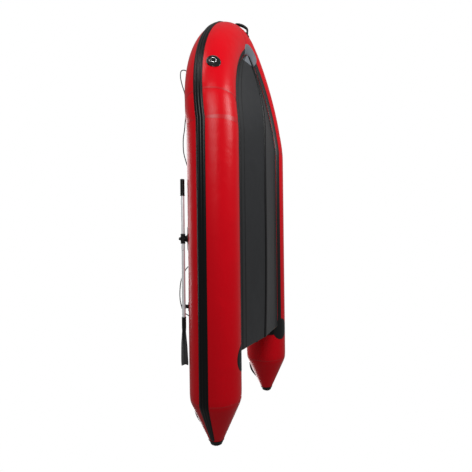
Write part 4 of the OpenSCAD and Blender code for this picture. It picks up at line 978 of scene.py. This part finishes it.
# %% Oar parts
LOCK_RUN, LOCK_ANGLE, OAR_RISE = 1.900, 24, 0.046
SHAFT_R = 0.017
SHAFT_TOP, SHAFT_JOINT, SHAFT_FOOT = 0.54, -0.16, -0.79
BUTTON_X = -0.105
GRIP_START, GRIP_LEN, GRIP_STEP = 0.407, 0.128, 0.016
COLLAR_R = 0.0223
BLADE_TURN = radians(60)
BLADE_ROOT, BLADE_TIP = -0.770, -1.190
BLADE_STOPS = [(0, 0.018, 0.018), (0.1, 0.026, 0.026), (0.22, 0.043, 0.043), (0.5, 0.068, 0.068),
               (0.8, 0.078, 0.079), (0.86, 0.0795, 0.08), (0.93, 0.0785, 0.074), (1.0, 0.066, 0.058)]
oar_place = stand(LOCK_RUN, LOCK_ANGLE, OAR_RISE)
along_x = Matrix.Rotation(pi / 2, 4, "Y")


def shaft(bm, start, stop, radius, rounding=0.0008):
    profile = [(0, start), (radius - rounding, start), (radius, start + rounding),
               (radius, stop - rounding), (radius - rounding, stop), (0, stop)]
    turned(bm, profile, oar_place @ along_x, steps=48)


def blade_half(share):
    """Half widths of the blade, high edge and low edge, from its root to its tip."""
    for (a, h0, l0), (b, h1, l1) in zip(BLADE_STOPS, BLADE_STOPS[1:]):
        if share <= b:
            t = (share - a) / (b - a)
            return h0 + (h1 - h0) * t, l0 + (l1 - l0) * t
    return BLADE_STOPS[-1][1:]


def blade_ring(share, turning, count=26):
    """One section of the blade: a thin plate with a spine, ribs and a rim, slightly cupped."""
    high, low = blade_half(share)
    x = BLADE_ROOT + (BLADE_TIP - BLADE_ROOT) * share
    ring = []
    for j in range(2 * count):
        a = 2 * pi * j / (2 * count)
        z = cos(a) * (high if cos(a) > 0 else low)
        edge = abs(z) / max(high, low)
        spine = 0.0075 * max(0.0, 1 - abs(z) / 0.019) ** 0.8 * (1 - share) ** 0.8
        ribs = 0.0012 * max(0.0, cos(z * 330)) ** 4 * (1 if 0.28 < share < 0.9 and edge < 0.86 else 0)
        thick = 0.0016 + 0.0014 * (1 - edge**4) + 0.0014 * (edge > 0.9) + spine + ribs
        slant = 0.0 if share < 0.9 else (z - high) / (high + low) * -0.05 * (share - 0.9) / 0.1
        cup = 0.006 * (z / 0.08) ** 2 * share
        face = (1 if sin(a) >= 0 else -1) * min(1, abs(sin(a)) * 6 + 0.05)
        ring.append(turning @ Vector((x + slant, thick * face - cup + 0.003 * share, z)))
    return ring


for side, flip in (("port", False), ("starboard", True)):
    body = "oar_" + side
    bm = bmesh.new()
    shaft(bm, SHAFT_JOINT + 0.0003, SHAFT_TOP, SHAFT_R)
    piece(bm, "shaft_upper_" + side, OAR_ALLOY, body, "oar_shaft_upper_" + side, flip=flip)

    bm = bmesh.new()
    shaft(bm, SHAFT_FOOT, SHAFT_JOINT, SHAFT_R)
    piece(bm, "shaft_lower_" + side, OAR_ALLOY, body, "oar_shaft_lower_" + side, flip=flip)

    grip = [(0.0172, 0.395), (0.0212, 0.3955), (0.0222, 0.398), (0.0218, 0.402), (0.0198, 0.405)]
    for k in range(49):
        x = GRIP_START + GRIP_LEN * k / 48
        grip.append((0.0194 + 0.0009 * (0.5 - 0.5 * cos(2 * pi * (x - GRIP_START) / GRIP_STEP)) + 0.0003, x))
    grip += [(0.0205, 0.538), (0.0208, 0.543), (0.0195, 0.547), (0.016, 0.5495), (0, 0.55)]
    bm = bmesh.new()
    turned(bm, grip, oar_place @ along_x, steps=48)
    piece(bm, "grip_" + side, RUBBER, body, "oar_grip_" + side, flip=flip, sharp=50)

    collar = [(SHAFT_R + 0.0001, -0.045), (0.0205, -0.045), (0.0219, -0.0443), (COLLAR_R, -0.0425),
              (COLLAR_R, -0.035), (0.0209, -0.0335), (0.0209, -0.0265), (COLLAR_R, -0.025)]
    collar += [(r, -x) for r, x in reversed(collar)]
    bm = bmesh.new()
    turned(bm, collar + [collar[0]], oar_place @ along_x, steps=56)
    hub = [(0.0072, -0.0223), (0.0132, -0.0225), (0.0148, -0.0212), (0.0150, -0.0195), (0.0150, 0.0195),
           (0.0148, 0.0212), (0.0132, 0.0225), (0.0072, 0.0223), (0.0072, -0.0223)]
    turned(bm, hub, oar_place, steps=48)
    piece(bm, "collar_" + side, NYLON, body, "oar_collar_" + side, flip=flip, sharp=40)

    bm = bmesh.new()
    turning = oar_place @ Matrix.Rotation(BLADE_TURN, 4, "X")
    loft(bm, [blade_ring(k / 48, turning) for k in range(49)])
    socket = [(SHAFT_R + 0.0001, -0.722), (0.0196, -0.7205), (0.0212, -0.7225), (0.0212, -0.727),
              (0.0200, -0.7285), (0.0200, -0.762), (0.0203, -0.79), (0.0203, -0.815), (0.0185, -0.85),
              (0.0145, -0.90), (0.0095, -0.96), (0.0055, -1.01), (0.002, -1.045), (0, -1.05)]
    turned(bm, socket, oar_place @ along_x, steps=40)
    piece(bm, "blade_" + side, NYLON, body, "oar_blade_" + side, flip=flip, sharp=42)

    bm = bmesh.new()
    button_place = oar_place @ Matrix.Translation((BUTTON_X, 0, 0)) @ Matrix.Rotation(-pi / 2, 4, "X")
    turned(bm, [(0, 0.012), (0.0044, 0.012), (0.0044, 0.0184), (0.0038, 0.0195), (0.0024, 0.0199), (0, 0.02)],
           button_place, steps=32)
    piece(bm, "button_" + side, STAINLESS, "snap_button_" + side, "snap_button_" + side, flip=flip)

# %% [markdown]
# The locks stay on the tube: a rubber base with a tail fore and aft, a flared boss, the pin, and a
# knurled nut above the collar. A sprung clip nearer the stern holds the stowed shaft.

# %% Lock bases, pins, nuts and clips
LOCK_LOW = OAR_RISE - COLLAR_R - 0.0004
LOCK_TOP = OAR_RISE + COLLAR_R + 0.0004
BASE_R, BASE_REACH = 0.055, 0.11
lock_place = stand(LOCK_RUN, LOCK_ANGLE)
base_outline = []
for k in range(72):
    a = 2 * pi * k / 72
    tail = max(0.0, cos(a) ** 2 - 0.35) / 0.65 * (1 if abs(cos(a)) > 0.6 else 0.6)
    reach = BASE_R + (BASE_REACH - BASE_R) * tail
    base_outline.append((reach * cos(a), BASE_R * sin(a) * (1 - 0.35 * abs(cos(a)) ** 3)))
bm = bmesh.new()
patch(bm, base_outline, [(1.0, -0.001), (1.0, 0.003), (0.975, 0.0046), (0.93, 0.005), (0.88, 0.0044),
                         (0.5, 0.0048), (0.1, 0.005)], LOCK_RUN, LOCK_ANGLE)
turned(bm, [(0, 0.0), (0.045, 0.0), (0.0455, 0.0045), (0.040, 0.0065), (0.0335, 0.010), (0.0295, 0.0155),
            (0.0272, LOCK_LOW - 0.001), (0.026, LOCK_LOW), (0, LOCK_LOW)], lock_place, steps=56)
piece(bm, "lock_bases", RUBBER, stands_for="oarlock_bases", mirrored=True, sharp=45)

bm = bmesh.new()
turned(bm, [(0, 0.006), (0.007, 0.006), (0.007, LOCK_TOP + 0.009), (0.006, LOCK_TOP + 0.01),
            (0, LOCK_TOP + 0.01)], lock_place, steps=32)
piece(bm, "lock_pins", STAINLESS, stands_for="oarlock_pins", mirrored=True)

bm = bmesh.new()
turned(bm, [(0.0072, 0), (0.0165, 0), (0.017, 0.0006), (0.017, 0.0016), (0.0165, 0.002), (0.0138, 0.0021)],
       lock_place @ Matrix.Translation((0, 0, LOCK_TOP)), steps=48)
rings = []
for h, r, cut in ((0.002, 0.0128, 1.0), (0.0035, 0.0138, 1.0), (0.011, 0.0128, 1.0), (0.0142, 0.0112, 0.6),
                  (0.015, 0.009, 0.2)):
    rings.append(notched(lock_place, LOCK_TOP + h, r, lambda a: cut * 0.0011 * (0.5 - 0.5 * cos(12 * a)), 96))
loft(bm, rings)
piece(bm, "lock_nuts", NYLON, stands_for="oarlock_nuts", mirrored=True, sharp=50)

bm = bmesh.new()
CLIP_RUN = LOCK_RUN - 0.626
clip_levels = [(1.0, -0.001), (1.0, 0.0026), (0.96, 0.0038), (0.5, 0.0042), (0.1, 0.0042)]
patch(bm, oblong(0.08, 0.056, 0.02), clip_levels, CLIP_RUN, LOCK_ANGLE)
clip_place = stand(CLIP_RUN, LOCK_ANGLE)
inner_r, outer_r = SHAFT_R + 0.0003, SHAFT_R + 0.0053
hook = [(outer_r * cos(a), outer_r * sin(a)) for a in [pi / 2 + pi * k / 26 for k in range(27)]]
hook += [(0.0005, -outer_r), (0.0012, -inner_r - 0.0025), (0.0005, -inner_r)]
hook += [(inner_r * cos(a), inner_r * sin(a)) for a in [3 * pi / 2 - pi * k / 26 for k in range(27)]]
hook += [(0.0012, inner_r + 0.0025)]
loft(bm, [[clip_place @ Vector((x, y, OAR_RISE + z)) for y, z in hook]
          for x in (-0.0175, -0.0165, 0, 0.0165, 0.0175)])
foot = OAR_RISE - SHAFT_R - 0.005
stem = [(-0.014, 0.003), (-0.0125, 0.01), (-0.012, foot + 0.002), (0, foot + 0.0005), (0.0004, 0.01),
        (0.001, 0.003)]
loft(bm, [[clip_place @ Vector((x, y, z)) for y, z in stem] for x in (-0.0165, -0.015, 0.015, 0.0165)])
piece(bm, "shaft_clips", NYLON, stands_for="oar_clips", mirrored=True, sharp=45)

# %% [markdown]
# ## Valves
# Each chamber is filled through a grey valve: a flanged body welded in the fabric, a cap with
# finger notches that twists off, and a sprung plunger under it.

# %% Valves
VALVE_ANGLE = -48
VALVES = {
    "port": stand(1.060, VALVE_ANGLE),
    "starboard": stand(1.060, VALVE_ANGLE),
    "bow": stand(WIDE_RUN + WIDE_BEND * radians(34), VALVE_ANGLE),
}
LID_LEVELS = [(0.0056, 0.0272, 0), (0.0062, 0.0279, 1), (0.0115, 0.0262, 1), (0.0138, 0.0248, 0.8),
              (0.0146, 0.022, 0.1), (0.0146, 0.012, 0), (0.0136, 0.0105, 0), (0.0136, 0.003, 0)]
flange = [(0.013, 0.0053), (0.026, 0.0053), (0.0305, 0.0048), (0.032, 0.0034), (0.032, 0.0), (0.02, 0.0),
          (0.02, -0.03), (0.013, -0.027), (0.013, 0.0053)]
bm = bmesh.new()
turned(bm, flange, VALVES["bow"], steps=56)
turned(bm, flange, VALVES["port"], steps=56)
turned(bm, flange, Matrix.Diagonal((1, -1, 1, 1)) @ VALVES["port"], steps=56)
piece(bm, "valve_housings", NYLON_GREY, stands_for="valve_bodies", sharp=40)
for which, place in VALVES.items():
    bm = bmesh.new()
    rings = []
    for h, r, cut in LID_LEVELS:
        rings.append(notched(place, h, r, lambda a: 0.0014 * cut * max(0.0, cos(10 * a)), 120))
    loft(bm, rings)
    key = oblong(0.004, 0.018, 0.0015, 3)
    loft(bm, [[place @ Vector((x, y, z)) for x, y in key] for z in (0.0134, 0.0142, 0.0146)])
    piece(bm, "valve_lid_" + which, NYLON_GREY, "valve_cap_" + which, "valve_cap_" + which,
          flip=which == "starboard", sharp=45)

# %% [markdown]
# ## The floor
# Extruded aluminium planks lock end to end under side channels. Their top faces have fine ribs
# so that a wet foot holds. Each plank here is its ribbed section pulled across the boat; the bow
# plank is cut to its outline, and the CAD's joiners and channels stay as they are.

# %% Ribbed planks
BOARD_T = 0.014


def plank_section(start, stop, step=0.0165):
    """A plank's outline seen from the side: flat below, ribbed above."""
    points = [(start, -BOARD_T + 0.001), (start + 0.001, -BOARD_T), (stop - 0.001, -BOARD_T),
              (stop, -BOARD_T + 0.001), (stop, -0.0012), (stop - 0.0015, -0.0009)]
    x = stop - 0.02
    while x > start + 0.02:
        points += [(x + 0.0034, -0.0009), (x + 0.0024, -0.0001), (x - 0.0024, -0.0001), (x - 0.0034, -0.0009)]
        x -= step
    return points + [(start + 0.0015, -0.0009), (start, -0.0012)]


for number in (1, 2, 3):
    low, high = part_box(f"floorboard_{number}")
    bm = bmesh.new()
    section = plank_section(low.x, high.x)
    loft(bm, [[Vector((x, y, high.z + z)) for x, z in section]
              for y in (low.y, low.y * 0.33, high.y * 0.33, high.y)])
    piece(bm, f"plank_{number}", PLATE_ALLOY, stands_for=f"floorboard_{number}", sharp=25)

low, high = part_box("floorboard_bow")
reach = high.x - low.x
bm = bmesh.new()
section = plank_section(low.x, high.x)
loft(bm, [[Vector((x, y, high.z + z)) for x, z in section] for y in (low.y, high.y)])
widths = [(0, high.y), (0.45, high.y - 0.012), (0.74, 0.400), (0.92, 0.270), (1, 0.180)]
for (a, wa), (b, wb) in zip(widths[1:], widths[2:]):
    for side in (1, -1):
        away = Vector(((wa - wb), side * (b - a) * reach, 0)).normalized()
        bmesh.ops.bisect_plane(bm, geom=bm.verts[:] + bm.edges[:] + bm.faces[:], clear_outer=True,
                               plane_co=(low.x + a * reach, side * wa, 0), plane_no=away, dist=1e-7)
        bmesh.ops.holes_fill(bm, edges=bm.edges[:], sides=0)
piece(bm, "plank_bow", PLATE_ALLOY, stands_for="floorboard_bow", sharp=25)

# %% [markdown]
# ## Benches and their rails
# The benches are varnished plywood with rounded edges, each raised and bevelled from its outline.
# They slide in rubber rails on the side tubes, which are lofted from a slotted section.

# %% Benches
for which, body in (("aft", "bench_aft"), ("rowing", "bench_rowing")):
    low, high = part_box(body)
    centre = (low + high) / 2
    bm = bmesh.new()
    slab(bm, oblong(high.x - low.x, high.y - low.y, 0.02, 6), low.z, high.z, 0.004,
         Matrix.Translation((centre.x, centre.y, 0)), segments=3)
    piece(bm, "seat_" + which, PLY, body, body, sharp=30)

# %% Bench rails
bm = bmesh.new()
rail_reach = HALF - TUBE_R + 0.002
slot_low, slot_high = 0.1115, 0.1305
RAIL_STATIONS = (1.420, 2.270)
RAIL_SECTIONS = ((-0.28, 0.4), (-0.27, 0.7), (0.0, 1), (0.27, 0.7), (0.28, 0.4))


def rail_section(share):
    """A rail seen from the stern: seated on the tube, with a slot for the bench."""
    y0 = rail_reach - (0.036 if share > 0.5 else 0.030)
    gap = rail_reach - 0.0135
    tube = [(HALF - sqrt((TUBE_R + 0.0003) ** 2 - z * z), z) for z in (0.1040, 0.1210, 0.1380)]
    return [(y0, 0.1045), (y0 + 0.0015, 0.1040), *tube, (y0 + 0.0015, 0.1380), (y0, 0.1375),
            (y0, slot_high + 0.0006), (y0 + 0.0008, slot_high), (gap, slot_high), (gap, slot_low),
            (y0 + 0.0008, slot_low), (y0, slot_low - 0.0006)]


for station in RAIL_STATIONS:
    loft(bm, [[Vector((STERN + station + dx, y, LIFT + z)) for y, z in rail_section(share)]
              for dx, share in RAIL_SECTIONS])
piece(bm, "seat_rails", RUBBER, stands_for="bench_rails", mirrored=True, sharp=35)

# %% [markdown]
# ## Kept CAD pieces
# The transom with its holders, pads and fittings, the floor's channels, the plugs, the plungers
# and the pieces inside the hull already have the right shape, so they keep their CAD meshes and
# only get a finish.

# %% Finishes for the kept pieces
KEPT = {
    "transom_board": PLY, "transom_holders": RUBBER, "motor_pad_outer": RUBBER, "motor_pad_inner": RUBBER,
    "transom_bolts": STAINLESS, "drain_fittings": NYLON, "drain_plug_port": NYLON_GREY,
    "drain_plug_starboard": NYLON_GREY, "tow_eyes": STAINLESS, "tow_eye_nuts": STAINLESS,
    "floor_joiners": PLATE_ALLOY, "floor_stringers": PLATE_ALLOY, "chamber_baffles": PVC_GREY,
    "keel_tube": PVC_GREY, "valve_plunger_port": STAINLESS, "valve_plunger_starboard": STAINLESS,
    "valve_plunger_bow": STAINLESS,
}
for name, material in KEPT.items():
    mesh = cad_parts[name].data
    mesh.materials.clear()
    mesh.materials.append(material)
left = [n for n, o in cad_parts.items() if not o.hide_render and n not in KEPT]
print("kept", len(KEPT), "and unfinished", left)

# %% [markdown]
# ## Stage, light and camera
# The boat rests on a pale floor that is clear from below, so that the hull can be looked at from
# there. The light is a white room and five soft lamps: one at the bow, one above, one behind, and
# two below the floor, which light the underside. The floor throws no shadow, or it would block
# those two, and they don't bounce, or they would tint the floor red. The Standard view keeps the
# fabric's strong red, which the usual view washes out.

# %% Floor, world and lamps
bm = bmesh.new()
bmesh.ops.create_grid(bm, x_segments=1, y_segments=1, size=14)
floor_mesh = bpy.data.meshes.new("stage_floor")
bm.to_mesh(floor_mesh)
bm.free()
floor = bpy.data.objects.new("stage_floor", floor_mesh)
bpy.context.scene.collection.objects.link(floor)
pale = bpy.data.materials.new("Pale floor")
pale.use_nodes = True
tree = pale.node_tree
shader = tree.nodes["Principled BSDF"]
shader.inputs["Base Color"].default_value = (0.85, 0.85, 0.85, 1)
shader.inputs["Emission Color"].default_value = (1, 1, 1, 1)
shader.inputs["Emission Strength"].default_value = 0.22
shader.inputs["Specular IOR Level"].default_value = 0.1
shader.inputs["Roughness"].default_value = 0.8
clear = node(tree, "BsdfTransparent")
facing = node(tree, "NewGeometry")
see_through = tree.nodes.new("ShaderNodeMixShader")
tree.links.new(facing.outputs["Backfacing"], see_through.inputs[0])
tree.links.new(shader.outputs[0], see_through.inputs[1])
tree.links.new(clear.outputs[0], see_through.inputs[2])
tree.links.new(see_through.outputs[0], tree.nodes["Material Output"].inputs["Surface"])
floor_mesh.materials.append(pale)
floor.visible_shadow = floor.visible_diffuse = floor.visible_glossy = False

world = bpy.data.worlds.new("White room")
bpy.context.scene.world = world
world.use_nodes = True
tree = world.node_tree
room = tree.nodes["Background"]
room.inputs["Color"].default_value = (1, 1, 1, 1)
room.inputs["Strength"].default_value = 0.24
seen = node(tree, "Background")
seen.inputs["Color"].default_value = (1, 1, 1, 1)
seen.inputs["Strength"].default_value = 1.0
path_kind = node(tree, "LightPath")
pick = tree.nodes.new("ShaderNodeMixShader")
tree.links.new(path_kind.outputs["Is Camera Ray"], pick.inputs[0])
tree.links.new(room.outputs[0], pick.inputs[1])
tree.links.new(seen.outputs[0], pick.inputs[2])
tree.links.new(pick.outputs[0], tree.nodes["World Output"].inputs["Surface"])


def lamp(name, place, target, size, power, bounces=1024):
    data = bpy.data.lights.new(name, "AREA")
    data.shape = "SQUARE"
    data.size, data.energy = size, power
    data.cycles.max_bounces = bounces
    obj = bpy.data.objects.new(name, data)
    obj.location = place
    obj.rotation_euler = (Vector(target) - Vector(place)).to_track_quat("-Z", "Y").to_euler()
    bpy.context.scene.collection.objects.link(obj)
    obj.visible_camera = False
    return obj


lamp("front_softbox", (2.8, -4.3, -1.8), (0.3, 0, 0.25), 2.4, 165, bounces=0)
lamp("bow_softbox", (4.0, -2.2, 1.1), (1.7, -0.2, 0.4), 1.2, 32)
lamp("under_softbox", (2.8, 0.4, -3.6), (0.8, 0, 0.0), 1.8, 140, bounces=0)
lamp("top_softbox", (0.3, 1.5, 5.0), (0, 0, 0.3), 4.0, 150)
lamp("back_softbox", (-4.5, 3.5, 2.6), (0, 0, 0.3), 3.0, 90)
bpy.context.scene.view_settings.view_transform = "Standard"

# %% Camera
CAMERA_TILT = radians(23.5)
CAMERA_ROLL = radians(0.7)
CAMERA_PLACE = (-0.281, -3.879, -1.330)
SENSOR_WIDTH, LENS, SHIFT_UP = 36, 29.288, 0.01568
right = Vector((0, sin(CAMERA_TILT), -cos(CAMERA_TILT)))
up = Vector((1, 0, 0))
look = Vector((0, cos(CAMERA_TILT), sin(CAMERA_TILT)))
rolled_right = cos(CAMERA_ROLL) * right - sin(CAMERA_ROLL) * up
rolled_up = sin(CAMERA_ROLL) * right + cos(CAMERA_ROLL) * up
view = Matrix((rolled_right, rolled_up, -look)).transposed().to_4x4()
view.translation = CAMERA_PLACE
camera_data = bpy.data.cameras.new("camera")
camera_data.sensor_width = SENSOR_WIDTH
camera_data.lens = LENS
camera_data.shift_y = SHIFT_UP
camera = bpy.data.objects.new("camera", camera_data)
camera.matrix_world = view
bpy.context.scene.collection.objects.link(camera)
bpy.context.scene.camera = camera
